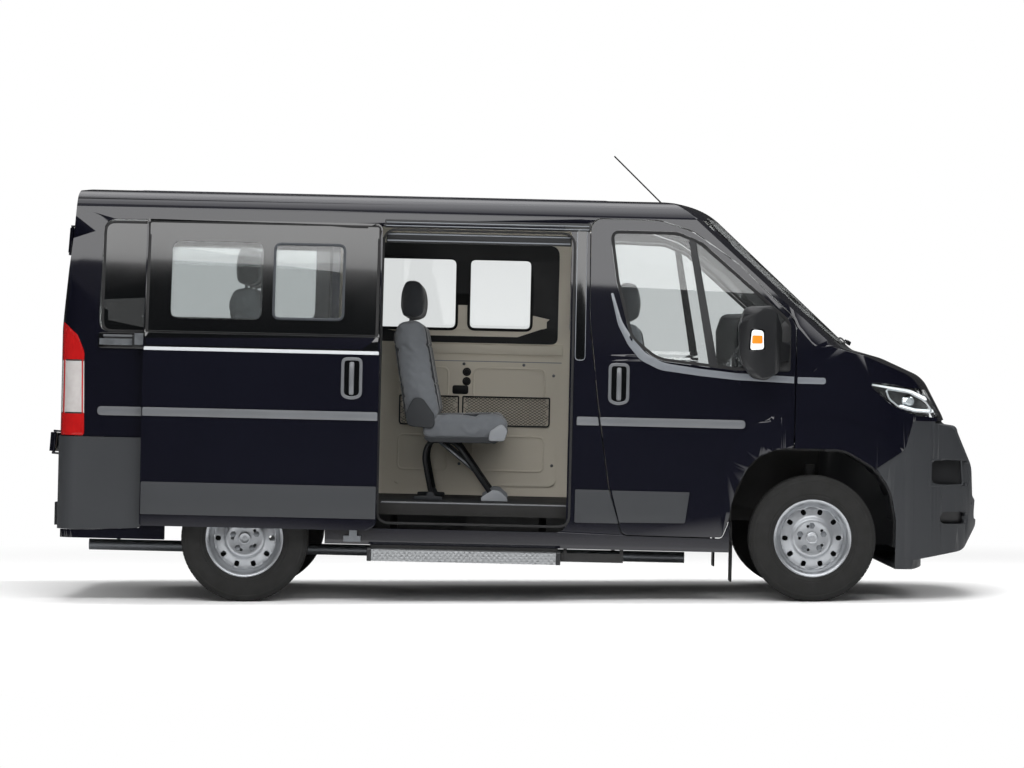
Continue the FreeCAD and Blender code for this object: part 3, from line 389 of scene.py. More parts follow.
# A plate of even thickness that lies on a panel's outside, with its edges broken. Where it bridges a gap
# or an opening it keeps the depth of the nearest point that has the panel behind it.
def laidOn(piece, target, sign, proud, bevel=1.5, axis=1, sunk=0, spread=170):
    outwards(piece)
    if piece.data.polygons[0].normal[axis] * sign < 0:
        editing(piece)
        bpy.ops.mesh.flip_normals()
        done()
    run = Vector((0, 0, 0))
    run[axis] = -sign
    bpy.context.view_layer.update()
    hits = [target.ray_cast(vertex.co, run) for vertex in piece.data.vertices]
    depths = sorted(hit[1][axis] for hit in hits if hit[0])
    middle = depths[len(depths) // 2]
    near = [hit[0] and abs(hit[1][axis] - middle) < spread * mm for hit in hits]
    known = [(vertex.co.copy(), hit[1][axis])
             for vertex, hit, good in zip(piece.data.vertices, hits, near) if good]
    for vertex, hit, good in zip(piece.data.vertices, hits, near):
        depth = hit[1][axis] if good else min(known, key=lambda one: (one[0] - vertex.co).length)[1]
        vertex.co[axis] = depth - sign * (1 + sunk) * mm
    applied(piece, "SOLIDIFY", thickness=(proud + 1) * mm, offset=1, use_even_offset=False)
    if bevel:
        applied(piece, "BEVEL", width=bevel * mm, segments=2, limit_method="ANGLE",
                angle_limit=math.radians(50))
    outwards(piece)
    return piece


# A plate drawn flat in one view, divided so that it can bend, and laid on the panel.
def laidPlate(name, corners, plane, target, sign, proud, finish, body, every, bevel, sunk=0, spread=170,
              longest=60):
    piece = flat(name, corners, plane, sign * drawnAt[plane], longest)
    for axis in (0, 1, 2):
        if axis != intoView[plane]:
            divided(piece, every, axis)
    raked(piece)
    laidOn(piece, target, sign, proud, bevel, intoView[plane], sunk, spread)
    return finished(piece, finish, body)


# A strip or plate on a side panel (drawn along and up), on the nose or tail (across and up), or on the roof
# and bonnet (along and across).
def sidePlate(name, corners, target, sign, proud, finish, body="root", every=90, bevel=1.5):
    return laidPlate(name, corners, "XZ", target, sign, proud, finish, body, every, bevel)


def endPlate(name, corners, target, sign, proud, finish, body="root", every=60, bevel=1.5):
    return laidPlate(name, corners, "YZ", target, sign, proud, finish, body, every, bevel)


def topPlate(name, corners, target, proud, finish, body="root", every=60, bevel=1.5):
    return laidPlate(name, corners, "XY", target, 1, proud, finish, body, every, bevel)


# A frame of even width along an outline on a side panel, such as a window seal.
def sideFrame(name, corners, width, target, sign, proud, finish, body="root", bevel=1.2, sunk=0, spread=170,
              longest=45):
    piece = flat(name, corners, "XZ", sign * drawnAt["XZ"], longest)
    editing(piece)
    bpy.ops.mesh.inset(thickness=width * mm)
    bpy.ops.mesh.delete(type="FACE")
    done()
    raked(piece)
    laidOn(piece, target, sign, proud, bevel, 1, sunk, spread)
    return finished(piece, finish, body)


# A plate or a frame that lies behind a clear lens, at an even depth.
def sideInlay(name, corners, target, sign, depth, thick, finish, width=0):
    if width:
        return sideFrame(name, corners, width, target, sign, thick, finish, "root", 1, depth, 450, 40)
    return laidPlate(name, corners, "XZ", target, sign, thick, finish, "root", 60, 1, depth, 450, 40)


# Where a panel lies: its point at (along, up) seen from one side, or at (along, across) seen from above.
def onSide(target, x, z, sign):
    start = rake @ (Vector((x, sign * drawnAt["XZ"], z)) * mm)
    hit, place, normal, face = target.ray_cast(start, Vector((0, -sign, 0)))
    return (rake.inverted() @ place) / mm


def onTop(target, x, y):
    start = rake @ (Vector((x, y, rayTop)) * mm)
    hit, place, normal, face = target.ray_cast(start, (rake.to_3x3() @ Vector((0, 0, -1))))
    return (rake.inverted() @ place) / mm


# A solid block with an outline in one view, from one place to another across it, its edges rounded.
def solid(name, corners, plane, start, end, bevel=2.0, segments=3, longest=4000):
    piece = flat(name, corners, plane, start, longest)
    run = Vector((0, 0, 0))
    run[intoView[plane]] = (end - start) * mm
    editing(piece)
    bpy.ops.mesh.extrude_region_move(TRANSFORM_OT_translate={"value": run})
    bpy.ops.mesh.select_all(action="SELECT")
    bpy.ops.mesh.normals_make_consistent(inside=False)
    done()
    if bevel:
        applied(piece, "BEVEL", width=bevel * mm, segments=segments, limit_method="ANGLE",
                angle_limit=math.radians(35))
    return piece


# Such a block in its finish and in its place on the raked body.
def block(name, corners, plane, start, end, bevel, finish, body="root", segments=3):
    return finished(raked(solid(name, corners, plane, start, end, bevel, segments)), finish, body)


def joined(name, pieces):
    nothingSelected()
    for piece in pieces:
        piece.select_set(True)
    bpy.context.view_layer.objects.active = pieces[0]
    bpy.ops.object.join()
    pieces[0].name = name
    pieces[0].data.name = name
    return pieces[0]


# A round form about an axis through a point: the profile is (radius, along) in millimetres.
def turned(name, profile, centre, axis, steps=48, angle=360.0, closed=False):
    nothingSelected()
    bpy.ops.mesh.primitive_circle_add(vertices=len(profile), radius=1, fill_type="NOTHING")
    piece = bpy.context.object
    piece.name = name
    piece.data.name = name
    for vertex, (radius, along) in zip(piece.data.vertices, profile):
        vertex.co = Vector((radius, 0, along)) * mm
    if not closed:
        editing(piece, "DESELECT")
        done()
        last = [e for e in piece.data.edges if set(e.vertices) == {0, len(profile) - 1}][0]
        last.select = True
        bpy.ops.object.mode_set(mode="EDIT")
        bpy.context.tool_settings.mesh_select_mode = (False, True, False)
        bpy.ops.mesh.delete(type="EDGE")
        bpy.context.tool_settings.mesh_select_mode = (True, False, False)
        done()
    editing(piece)
    bpy.ops.mesh.spin(steps=steps, angle=math.radians(angle), center=(0, 0, 0), axis=(0, 0, 1),
                      use_auto_merge=True)
    bpy.ops.mesh.select_all(action="SELECT")
    bpy.ops.mesh.remove_doubles(threshold=0.00005)
    bpy.ops.mesh.normals_make_consistent(inside=False)
    done()
    turn = Vector((0, 0, 1)).rotation_difference(Vector(axis)).to_matrix().to_4x4()
    piece.data.transform(Matrix.Translation(Vector(centre) * mm) @ turn)
    piece.data.update()
    return piece


# A plate on a side panel with rounded openings, drawn in the level side view.
def piercedPlate(name, corners, holes, target, sign, proud, finish):
    start = sign * drawnAt["XZ"]
    piece = solid(name, corners, "XZ", start, start + sign * 20, 0, longest=60)
    for hole in holes:
        cutter = solid("cutter", hole, "XZ", start - sign * 20, start + sign * 40, 0)
        applied(piece, "BOOLEAN", object=cutter, operation="DIFFERENCE", solver="EXACT")
        bpy.data.objects.remove(cutter)
    editing(piece, "DESELECT")
    done()
    for vertex in piece.data.vertices:
        vertex.select = abs(vertex.co.y - start * mm) > mm
    bpy.ops.object.mode_set(mode="EDIT")
    bpy.ops.mesh.delete(type="VERT")
    done()
    divided(piece, 110, 2)
    raked(piece)
    laidOn(piece, target, sign, proud, 0)
    return finished(piece, finish)


# A path of straight runs joined by arcs, from corners (x, y, z, radius) in millimetres.
def bent(corners):
    points = [Vector(corner[:3]) for corner in corners]
    path = [points[0]]
    for index in range(1, len(points) - 1):
        point = points[index]
        before = points[index - 1] - point
        after = points[index + 1] - point
        path += arc(before, point, after, corners[index][3] if len(corners[index]) > 3 else 0)
    return path + [points[-1]]


# A closed round bar along a path, with its ends broken.
def tube(name, corners, radius, sides=16):
    path = [point * mm for point in bent(corners)]
    nothingSelected()
    bpy.ops.mesh.primitive_circle_add(vertices=sides, radius=1, fill_type="NGON")
    piece = bpy.context.object
    piece.name = name
    piece.data.name = name
    editing(piece)
    for step in range(1, len(path)):
        bpy.ops.mesh.extrude_region_move(TRANSFORM_OT_translate={"value": (0, 0, 1)})
    done()
    across = (path[1] - path[0]).orthogonal().normalized()
    for ring, point in enumerate(path):
        ahead = (path[min(ring + 1, len(path) - 1)] - point).normalized()
        behind = (point - path[max(ring - 1, 0)]).normalized()
        run = (ahead + behind).normalized()
        across = (across - run * across.dot(run)).normalized()
        other = run.cross(across)
        half = ahead.angle(run) if 0 < ring < len(path) - 1 else 0
        for place in range(sides):
            turn = 2 * math.pi * place / sides
            piece.data.vertices[ring * sides + place].co = point + (
                across * math.cos(turn) + other * math.sin(turn)) * radius * mm / max(0.5,
                                                                                      math.cos(half) ** 0.5)
    outwards(piece)
    applied(piece, "BEVEL", width=min(1.5, radius / 4) * mm, segments=2, limit_method="ANGLE",
            angle_limit=math.radians(60))
    return piece


# A smooth copy of a CAD node in its own finishes, which stands for the node. Level cuts part its faces
# where one finish ends and the next begins.
def dressed(node, names, rule, angle, cuts):
    source = frame["nodes"][node]
    piece = copyOf(source, node + "_dressed")
    merged(piece)
    for z in cuts:
        editing(piece)
        bpy.ops.mesh.bisect(plane_co=rake @ Vector((0, 0, z * mm)),
                            plane_no=rake.to_3x3() @ Vector((0, 0, 1)))
        done()
    smoothed(piece, angle)
    applied(piece, "WEIGHTED_NORMAL", keep_sharp=True, weight=80)
    coloured(piece, names, rule)
    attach(piece, source["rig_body"])
    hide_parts(node)
    return piece


say("body panels")


# Zones of the side view, in level millimetres, where the panel behind the glass is black.
blackZones = {
    "body_side_right": [(-2262, -1018, 1362, 1988)],
    "body_side_left": [(-2262, -1018, 1362, 1988), (-990, 246, 1362, 1982)],
    "sliding_door": [(-2000, -764, 1362, 1982)],
}


def sideRule(node, sign):
    zones = blackZones.get(node, [])

    def rule(centre, normal):
        if -sign * normal.y > 0.4:
            return 3 if centre.z < 500 or centre.x > 620 else 1
        if any(left < centre.x < right and low < centre.z < high for left, right, low, high in zones):
            return 2
        return 0
    return rule


def roofRule(centre, normal):
    return 1 if normal.z < -0.3 else 0


def floorRule(centre, normal):
    return 0 if normal.z > 0.3 and centre.z > 440 else 1


def tailLampRule(centre, normal):
    return 1 if 944 < centre.z < 1222 else 0


panels = {}


def panel(node, *names, rule=None, slot="paint", angle=32, cuts=()):
    panels[node] = dressed(node, names, rule, angle, cuts)


for side, sign in sides:
    for node, inside in (("body_side_", "beige"), ("front_door_", "blackPlastic")):
        panel(node + side, "paint", inside, "glossBlack", "blackPlastic", rule=sideRule(node + side, sign),
              cuts=(500,))
    panel("rear_door_" + side, "paint", "beige", rule=lambda c, n: 1 if n.x > 0.4 else 0)
    panel("mirror_" + side, "blackPlastic", slot="bumper_plastic", angle=40)
    panel("knuckle_" + side, "iron", slot="iron")
    panel("front_glass_" + side, "glass", slot="glass")
    panel("rear_glass_" + side, "darkGlass", slot="glass")
    for end in ("front", "rear"):
        panel(f"rim_{end}_{side}", "wheel", slot="wheel_steel", angle=30)
panel("sliding_door", "paint", "beige", "glossBlack", "blackPlastic", rule=sideRule("sliding_door", -1), cuts=(500,))
panel("roof_panel", "paint", "headliner", rule=roofRule)
panel("bonnet", "paint", "iron", rule=roofRule)
panel("front_wings", "paint")
panel("floor_pan", "floorMat", "underseal", rule=floorRule, slot="floor")
panel("tail_lamps", "tailRed", "tailWhite", rule=tailLampRule, slot="tail_lamp", cuts=(944, 1222))
panel("steering_wheel", "dash", slot="dash", angle=40)
# Nodes in one finish: the finish, and the slot in the record.
plainNodes = {
    "bulkhead": ("blackPlastic", "bumper_plastic"), "front_bumper": ("plastic", "bumper_plastic"),
    "rear_bumper": ("plastic", "bumper_plastic"), "front_grille": ("blackPlastic", "bumper_plastic"),
    "windscreen": ("glass", "glass"), "side_glass": ("glass", "glass"),
    "sliding_door_glass": ("glass", "glass"),
    "door_rails": ("steel", "steel"), "wheel_arch_liners": ("blackPlastic", "bumper_plastic"),
    "dashboard": ("dash", "dash"), "side_trim": ("beige", "trim"), "engine_block": ("alloy", "engine"),
    "front_subframe": ("iron", "iron"), "rear_axle": ("iron", "iron"),
    "fuel_tank": ("blackPlastic", "bumper_plastic"),
    "exhaust": ("steel", "steel"), "step_housing": ("iron", "iron"), "headlamps": ("lampClear", "lamp"),
    "side_step": ("treadPlate", "step"), "mud_flaps": ("rubber", "rubber"), "aerial": ("rubber", "rubber"),
}
for node, (finish, slot) in plainNodes.items():
    panel(node, finish, slot=slot)

say("strips, seals and mouldings")
# Each strip: the panel it lies on, its outline in the level side view, how proud it stands, its finish.
rightStrips = {
    "slideRubStrip": ("sliding_door", box(-2000, -764, 421, 592, 6), 6, "plastic"),
    # a light grey strip under the black band: painted highlight of the shoulder crease
    "slideCreaseHighlightStrip": ("sliding_door", box(-2000, -764, 938, 983, 4, 10), 8, "greyMouldingAndHighlight"),
    # the waist strips stand proud where the body has its swage line, and their light grey is a painted highlight of
    # that line's lit ledge
    "slideBeltHighlight": ("sliding_door", box(-2000, -764, 1284, 1302, 3, 6), 5, "beltHighlightStrip"),
    "quarterCreaseHighlightStrip": ("body_side_right", [(-2247, 935, 22), (-2010, 935, 4), (-2010, 982, 10),
                                            (-2247, 982, 22)], 8, "greyMouldingAndHighlight"),
}
bothStrips = {
    "pillarRubStrip": ("body_side_", [(284, 425, 6), (516, 425, 6), (462, 600, 6), (284, 600, 6)], 6, "plastic"),
    # the waist strip's light grey is a painted highlight of the swage line's lit ledge, on a raised strip
    "pillarCreaseHighlightStrip": ("body_side_", [(284, 939, 4), (402, 939, 4), (396, 984, 8), (284, 984, 8)], 8, "greyMouldingAndHighlight"),
    "doorRubStrip": ("front_door_", [(476, 598, 6), (520, 430, 6), (866, 434, 12), (888, 598, 6)], 6, "plastic"),
    "doorCreaseHighlightStrip": ("front_door_", [(412, 939, 4), (1173, 939, 22), (1173, 984, 22), (406, 984, 8)], 8, "greyMouldingAndHighlight"),
    "windowMoulding": ("front_door_", [
        (450, 1640, 10), (491, 1472, 200), (546, 1367, 120), (611, 1290, 120), (718, 1239, 160),
        (929, 1213, 300), (1114, 1196, 300), (1426, 1185, 3), (1426, 1220, 3), (1114, 1232, 300),
        (929, 1250, 300), (740, 1276, 200), (640, 1325, 160), (572, 1400, 160), (512, 1490, 200),
        (464, 1640, 4)], 3, "windowTrim"),
    "wingMoulding": ("front_wings", [(1444, 1184, 3), (1594, 1184, 16), (1594, 1218, 16), (1444, 1218, 3)],
                     3, "windowTrim"),
}
leftStrips = {
    "sideRubStrip": ("body_side_left", box(-980, 262, 421, 592, 6), 6, "plastic"),
    # the waist strip's light grey is a painted highlight of the swage line's lit ledge, on a raised strip
    "sideCreaseHighlightStrip": ("body_side_left", [(-2247, 938, 22), (262, 938, 4), (262, 983, 10), (-2247, 983, 22)],
                     8, "greyMouldingAndHighlight"),
    # a light grey strip under the black band: painted highlight of the shoulder crease
    "sideBeltHighlight": ("body_side_left", box(-2240, 262, 1284, 1302, 3, 6), 5, "beltHighlightStrip"),
}
for name, (node, corners, proud, finish) in rightStrips.items():
    sidePlate(name, corners, panels[node], -1, proud, finish)
for name, (node, corners, proud, finish) in leftStrips.items():
    sidePlate(name, corners, panels[node], 1, proud, finish)
for side, sign in sides:
    for name, (node, corners, proud, finish) in bothStrips.items():
        target = node + side if node.endswith("_") else node
        body = target if target.startswith("front_door") else "root"
        sidePlate(f"{name}_{side}", corners, panels[target], sign, proud, finish, body, 60)

# Seals round the glass and the frame of each opening pane.
frontGlassOutline = [
    (440, 1975, 50), (800, 1974, 150), (930, 1920, 100), (1385, 1530, 40), (1405, 1490, 20),
    (1405, 1247, 15), (1116, 1246, 300), (700, 1290, 200), (560, 1400, 120), (480, 1700, 300),
]
for side, sign in sides:
    door = "front_door_" + side
    glass = panels["front_glass_" + side]
    sideFrame("windowSeal_" + side, frontGlassOutline, 16, glass, sign, 2.5, "rubber", door)
    sidePlate("windowBar_" + side, [(856, 1944, 4), (896, 1926, 4), (1022, 1262, 4), (974, 1267, 4)], glass,
              sign, 3, "blackPlastic", door, 60)
for side, sign in sides:
    sidePlate("mirrorBase_" + side, [(1248, 1254, 20), (1396, 1254, 12), (1396, 1486, 14), (1372, 1516, 10),
                                     (1262, 1390, 60)],
              panels["front_glass_" + side], sign, 3, "blackPlastic", "front_door_" + side, 40)
openingPanes = {
    "slidePaneFrame": ("sliding_door_glass", -1, box(-1332, -951, 1457, 1866, 42)),
    "leftPaneFrame": ("side_glass", 1, box(-326, 48, 1450, 1870, 44)),
}
for name, (node, sign, corners) in openingPanes.items():
    sideFrame(name, corners, 14, panels[node], sign, 3, "paneFrame")

say("door handles")
# A pull-up handle in a recessed oval plate.
handle = {"width": 112, "height": 222, "barWidth": 26, "barLength": 176, "stand": 34}


def doorHandle(name, x, z, target, sign, body):
    half, tall = handle["width"] / 2, handle["height"] / 2
    corners = [(x - half, z - tall + 14, 40), (x, z - tall - 4, 90), (x + half, z - tall + 14, 40),
               (x + half, z + tall, 34), (x - half, z + tall, 34)]
    sideFrame(name + "Frame", corners, 17, target, sign, 9, "greyMouldingAndHighlight", body, 3)
    inner = [(x - half + 14, z - tall + 24, 34), (x, z - tall + 10, 70), (x + half - 14, z - tall + 24, 34),
             (x + half - 14, z + tall - 13, 28), (x - half + 14, z + tall - 13, 28)]
    sidePlate(name + "Recess", inner, target, sign, 1.5, "glossBlack", body, 60, 0)
    bar = handle["barWidth"] / 2
    reach = handle["barLength"] / 2
    grip = box(x - bar, x + bar, z - reach, z + reach, 12)
    piece = flat(name + "Grip", grip, "XZ", sign * drawnAt["XZ"], 20)
    divided(piece, 22, 2)
    raked(piece)
    laidOn(piece, target, sign, 16, 6)
    level = rake.inverted()
    for vertex in piece.data.vertices:
        along = ((level @ vertex.co).z / mm - z) / reach
        vertex.co.y += sign * mm * handle["stand"] * max(0, 1 - along * along) ** 0.5 * 0.6
    finished(piece, "greyMouldingAndHighlight", body)


for side, sign in sides:
    doorHandle("doorHandle_" + side, 502, 1160, panels["front_door_" + side], sign, "front_door_" + side)
doorHandle("slideHandle", -904, 1158, panels["sliding_door"], -1, "root")

say("glazing borders")
# Black glazing borders with clear windows: pane, outline, windows, side.
borders = {
    "slideGlazing": ("sliding_door_glass", -1, box(-1986, -779, 1381, 1959, 12),
                     [box(-1865, -1386, 1454, 1864, 46),
                      box(-1330, -953, 1458, 1865, 42)]),
    "quarterGlazing": ("side_glass", -1, [(-2229, 1381, 54), (-1032, 1381, 34), (-1032, 1959, 34),
                                          (-2229, 1959, 54)],
                       [box(-1880, -1110, 1462, 1880, 46)]),
    "leftQuarterGlazing": ("side_glass", 1, [(-2229, 1381, 54), (-1032, 1381, 34), (-1032, 1959, 34),
                                             (-2229, 1959, 54)],
                           [box(-2150, -1100, 1470, 1880, 50)]),
    "leftGlazing": ("side_glass", 1, box(-976, 232, 1381, 1959, 12),
                    [box(-868, -386, 1452, 1866, 46),
                     box(-324, 46, 1452, 1868, 42)]),
}
for name, (node, sign, corners, holes) in borders.items():
    piercedPlate(name, corners, holes, panels[node], sign, 0.8, "glossBlack")
for name, (node, sign, corners, holes) in borders.items():
    grown = [(x + math.copysign(9, x - (corners[0][0] + corners[1][0]) / 2), z + math.copysign(8, z - 1670),
              radius + 8)
             for x, z, radius in corners]
    sideFrame(name + "Seal", grown, 15, panels[node], sign, 1.4, "rubber", bevel=0.5)
# The lower edge of each black upper band, and the black post strip ahead of the sliding door.
sidePlate("slideBand", box(-1998, -768, 1304, 1376, 3), panels["sliding_door"], -1, 1, "glossBlack")
sidePlate("leftBand", box(-2245, 258, 1304, 1376, 8, 3), panels["body_side_left"], 1, 1, "glossBlack")
for side, sign in sides:
    sidePlate("postStripEdge_" + side, box(266, 322, 1279, 1984, 24, 6),
              panels["body_side_" + side], sign, 2, "windowTrim", "root", 70)
    sidePlate("postStrip_" + side, box(270, 319, 1283, 1981, 20, 5),
              panels["body_side_" + side], sign, 3, "glossBlack", "root", 70)
    sidePlate("quarterStep_" + side, [(-2252, 1290, 20), (-2004, 1290, 4), (-2004, 1372, 4),
                                      (-2252, 1372, 20)],
              panels["body_side_" + side], sign, 1, "glossBlack", "root", 60)

say("middle rail")
for index, z in enumerate((1306, 1350)):
    sidePlate(f"railLine{index}", [(-2226, z, 5), (-2040, z, 2), (-2040, z + 12, 2), (-2226, z + 12, 5)],
              panels["body_side_right"], -1, 3, "greyMouldingAndHighlight")
sidePlate("railSlot", [(-2222, 1320, 6), (-2036, 1320, 2), (-2036, 1346, 2), (-2222, 1346, 6)],
          panels["body_side_right"], -1, 1.6, "blackPlastic")
block("railCarriage", [(-2066, 1300, 8), (-2006, 1296, 8), (-2006, 1366, 8), (-2066, 1362, 8)], "XZ", -1042,
      -1012, 4, "blackPlastic")

say("tyres and wheels")
# Half of a tyre's section from the bead to the middle rib, as (radius, along), and the tread's grooves.
tyreStyle = {"radius": 334, "half": 102.5, "grooves": [20, 58], "grooveWidth": 8, "grooveDepth": 8,
             "blocks": 84}


def tyreSection():
    r, half = tyreStyle["radius"], tyreStyle["half"]
    side = [(204, 74), (208, 84), (218, 88), (222, 92), (232, 94), (235, 97), (262, 101), (283, half),
            (300, 101.5), (303, 103), (311, 102), (314, 99.5), (323, 94), (329, 88), (r, 80)]
    crown = []
    for groove in reversed(tyreStyle["grooves"]):
        wide, deep = tyreStyle["grooveWidth"] / 2, tyreStyle["grooveDepth"]
        crown += [(r, groove + wide), (r - deep, groove + wide - 1), (r - deep, groove - wide + 1),
                  (r, groove - wide)]
    outer = side + crown
    full = outer + [(radius, -along) for radius, along in reversed(outer)]
    inner = [(204, -62), (232, -80), (270, -90), (300, -88), (318, -70), (318, 70), (300, 88), (270, 90),
             (232, 80), (204, 62)]
    return full + inner


def tyre():
    piece = turned("tyrePattern", tyreSection(), (0, 0, 0), (0, 0, 1), tyreStyle["blocks"], closed=True)
    ribs = [face.index for face in piece.data.polygons
            if math.hypot(face.center.x,
                          face.center.y) / mm > tyreStyle["radius"] - 1.5 and abs(face.normal.z) < 0.25]
    editing(piece, "DESELECT")
    done()
    for index in ribs:
        piece.data.polygons[index].select = True
    bpy.ops.object.mode_set(mode="EDIT")
    bpy.context.tool_settings.mesh_select_mode = (False, False, True)
    bpy.ops.mesh.inset(thickness=1.4 * mm, depth=0, use_individual=True)
    done()
    bpy.context.tool_settings.mesh_select_mode = (True, False, False)
    # the gaps between blocks are sunk, so the blocks keep the tyre's own radius
    tops = {vertex for face in piece.data.polygons if face.select for vertex in face.vertices}
    for vertex in piece.data.vertices:
        radius = math.hypot(vertex.co.x, vertex.co.y) / mm
        if radius > tyreStyle["radius"] - 1.5 and vertex.index not in tops and abs(vertex.co.z) < 83 * mm:
            scale = (radius - 5.5) / radius
            vertex.co.x *= scale
            vertex.co.y *= scale
    return piece


pattern = tyre()
centres = {"front": (1551, 905.5, 334), "rear": (-1449, 895.5, 334)}
hub = {"bolts": 5, "boltCircle": 65}
for end, (x, y, z) in centres.items():
    for side, sign in sides:
        turn = Matrix.Translation(Vector((x, sign * y, z)) * mm) @ Matrix.Rotation(math.radians(-90 * sign), 4, "X")
        piece = copyOf(pattern, f"tyre_{end}_{side}_tread")
        piece.data.transform(turn)
        piece.data.update()
        finished(piece, "tyre", f"wheel_{end}_{side}", 28)
        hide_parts(f"tyre_{end}_{side}")
        cap = turned(f"wheelCap_{end}_{side}", [
            (0, 53), (10, 53), (11, 51.5), (24, 51), (26, 52.5), (31, 50), (33, 44), (33, 37), (0, 37)],
                     (0, 0, 0), (0, 0, 1), 40)
        cap.data.transform(turn)
        finished(cap, "wheel", f"wheel_{end}_{side}")
        bolts = []
        for place in range(hub["bolts"]):
            angle = math.radians(360 / hub["bolts"] * place + 90)
            centre = (hub["boltCircle"] * math.cos(angle), hub["boltCircle"] * math.sin(angle), 0)
            bolts.append(turned("wheelBolt", [(0, 60), (5, 60), (6, 58), (11, 57.5), (12.2, 55), (12.2, 43),
                                              (16, 42), (17, 38), (0, 38)],
                                centre, (0, 0, 1), 6))
        bolts = joined(f"wheelBolts_{end}_{side}", bolts)
        bolts.data.transform(turn)
        bolts.data.update()
        finished(bolts, "steel", f"wheel_{end}_{side}", 20)
bpy.data.objects.remove(pattern)

say("seats")
# One seat place is modelled, level, about its own middle at (0, 0, 0): its cushion, back and head restraint.
seatStyle = {"width": 333, "voxel": 9.0, "pressure": 4.0, "frames": 20, "cap": 20.0, "sink": 12,
             "bolster": 62, "seamDepth": 6,
             "seamWidth": 11, "farShare": 0.22}


# The cover is blown up by a short run of cloth, and no point moves further than the cap.
def puffed(piece):
    applied(piece, "REMESH", mode="VOXEL", voxel_size=seatStyle["voxel"] * mm)
    before = [vertex.co.copy() for vertex in piece.data.vertices]
    cloth = piece.modifiers.new("cloth", "CLOTH")
    cloth.settings.use_pressure = True
    cloth.settings.uniform_pressure_force = seatStyle["pressure"]
    cloth.settings.effector_weights.gravity = 0
    cloth.point_cache.frame_start = 1
    cloth.point_cache.frame_end = seatStyle["frames"]
    for step in range(1, seatStyle["frames"] + 1):
        scene.frame_set(step)
    shape = piece.evaluated_get(bpy.context.evaluated_depsgraph_get()).data
    after = [vertex.co.copy() for vertex in shape.vertices]
    piece.modifiers.clear()
    scene.frame_set(1)
    for vertex, start, end in zip(piece.data.vertices, before, after):
        move = end - start
        vertex.co = start + move * min(1, seatStyle["cap"] * mm / max(move.length, 1e-9))
    applied(piece, "SMOOTH", factor=0.5, iterations=3)


# Sewn channels: the cover is drawn in along each line, given as a distance to it in millimetres.
def sewn(piece, distance):
    piece.data.update()
    normals = [vertex.normal.copy() for vertex in piece.data.vertices]
    for vertex, normal in zip(piece.data.vertices, normals):
        away = distance(vertex.co / mm)
        if away < seatStyle["seamWidth"]:
            share = 1 - away / seatStyle["seamWidth"]
            vertex.co -= normal * seatStyle["seamDepth"] * mm * share * share
    piece.data.update()


def pad(name, corners, half):
    piece = solid(name, corners, "XZ", -half + seatStyle["sink"], half - seatStyle["sink"], 16, 3)
    puffed(piece)
    applied(piece, "SUBSURF", levels=1, render_levels=1)
    return piece


def seatPads(label, run):
    sink = seatStyle["sink"]
    half = seatStyle["width"] / 2
    cushion = pad("cushion" + label, [
        (sink, 350, 30), (64, 340, 20), (run - 76, 340, 50), (run - 12, 380, 30), (run - sink, 434, 32),
        (run - 46, 466, 40), (100, 452), (sink, 432)], half)
    back = pad("back" + label, [
        (108, 446), (4, 975, 26), (-22, 992, 24), (-124, 978, 36), (-130, 896, 160), (-50, 420, 90),
        (10, 408)], half - 10)
    edge = half - seatStyle["bolster"]
    sewn(cushion, lambda p: min(abs(abs(p.y) - edge), abs(p.x - run + 110) if abs(p.y) < edge else 99,
                                abs(p.x - 240) if abs(p.y) < edge else 99))
    sewn(back, lambda p: min(abs(abs(p.y) - edge + 4), abs(p.z - 640) if abs(p.y) < edge else 99,
                             abs(p.z - 850) if abs(p.y) < edge else 99))
    return cushion, back


def headPad():
    piece = pad("headPad", [(-106, 1006, 24), (-97, 1208, 40), (2, 1196, 40), (13, 1014, 32),
                            (-34, 996, 16)], 128)
    sewn(piece, lambda p: abs(abs(p.y) - 70))
    return piece


longRun, shortRun = 512, 460        # how far a long and a short cushion reach ahead of the back's foot
longPads = seatPads("Long", longRun)
shortPads = [copyOf(source, source.name + "Short") for source in longPads]
shortPads[0].data.transform(Matrix.Diagonal((shortRun / longRun, 1, 1, 1)))
head = headPad()
# The rows further from the open door have lighter meshes of the same pads.
farLongPads = [copyOf(source, source.name + "Far") for source in longPads]
farHead = copyOf(head, "headPadFar")
for piece in (*shortPads, *farLongPads, farHead):
    applied(piece, "DECIMATE", ratio=seatStyle["farShare"])


def placed(source, name, x, y, z, width, narrow=0.0):
    piece = copyOf(source, name)
    scale = (width - 2 * narrow) / (seatStyle["width"] - 2 * narrow) if width else 1
    piece.data.transform(Matrix.Diagonal((1, scale, 1, 1)))
    edge = (seatStyle["width"] / 2 - seatStyle["bolster"]) * scale * mm
    piece.data.materials.append(finishes["fabric"])
    piece.data.materials.append(finishes["bolster"])
    for face in piece.data.polygons:
        face.material_index = 1 if width and abs(face.center.y) > edge else 0
    piece.data.transform(Matrix.Translation(Vector((x, y, z)) * mm))
    raked(piece)
    smoothed(piece, 60)
    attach(piece, "root")
    return piece


def seatRow(name, x, z, places, heads, pads, headSource):
    rests = []
    for index, (low, high) in enumerate(places):
        middle, width = (low + high) / 2, high - low
        cushion = placed(pads[0], f"{name}Cushion{index}", x, middle, z, width - 2)
        back = placed(pads[1], f"{name}Back{index}", x, middle, z, width - 2)
        rests += [cushion, back]
    for index, middle in enumerate(heads):
        rests.append(placed(headSource, f"{name}HeadRest{index}", x, middle, z, 0))
        for side, off in (("Right", -62), ("Left", 62)):
            post = tube(f"{name}HeadPost{index}{side}", [(x - 66, middle + off, z + 930),
                                                         (x - 56, middle + off, z + 1060)], 5, 12)
            finished(raked(post), "steel", "root")
            rests.append(post)
    return rests


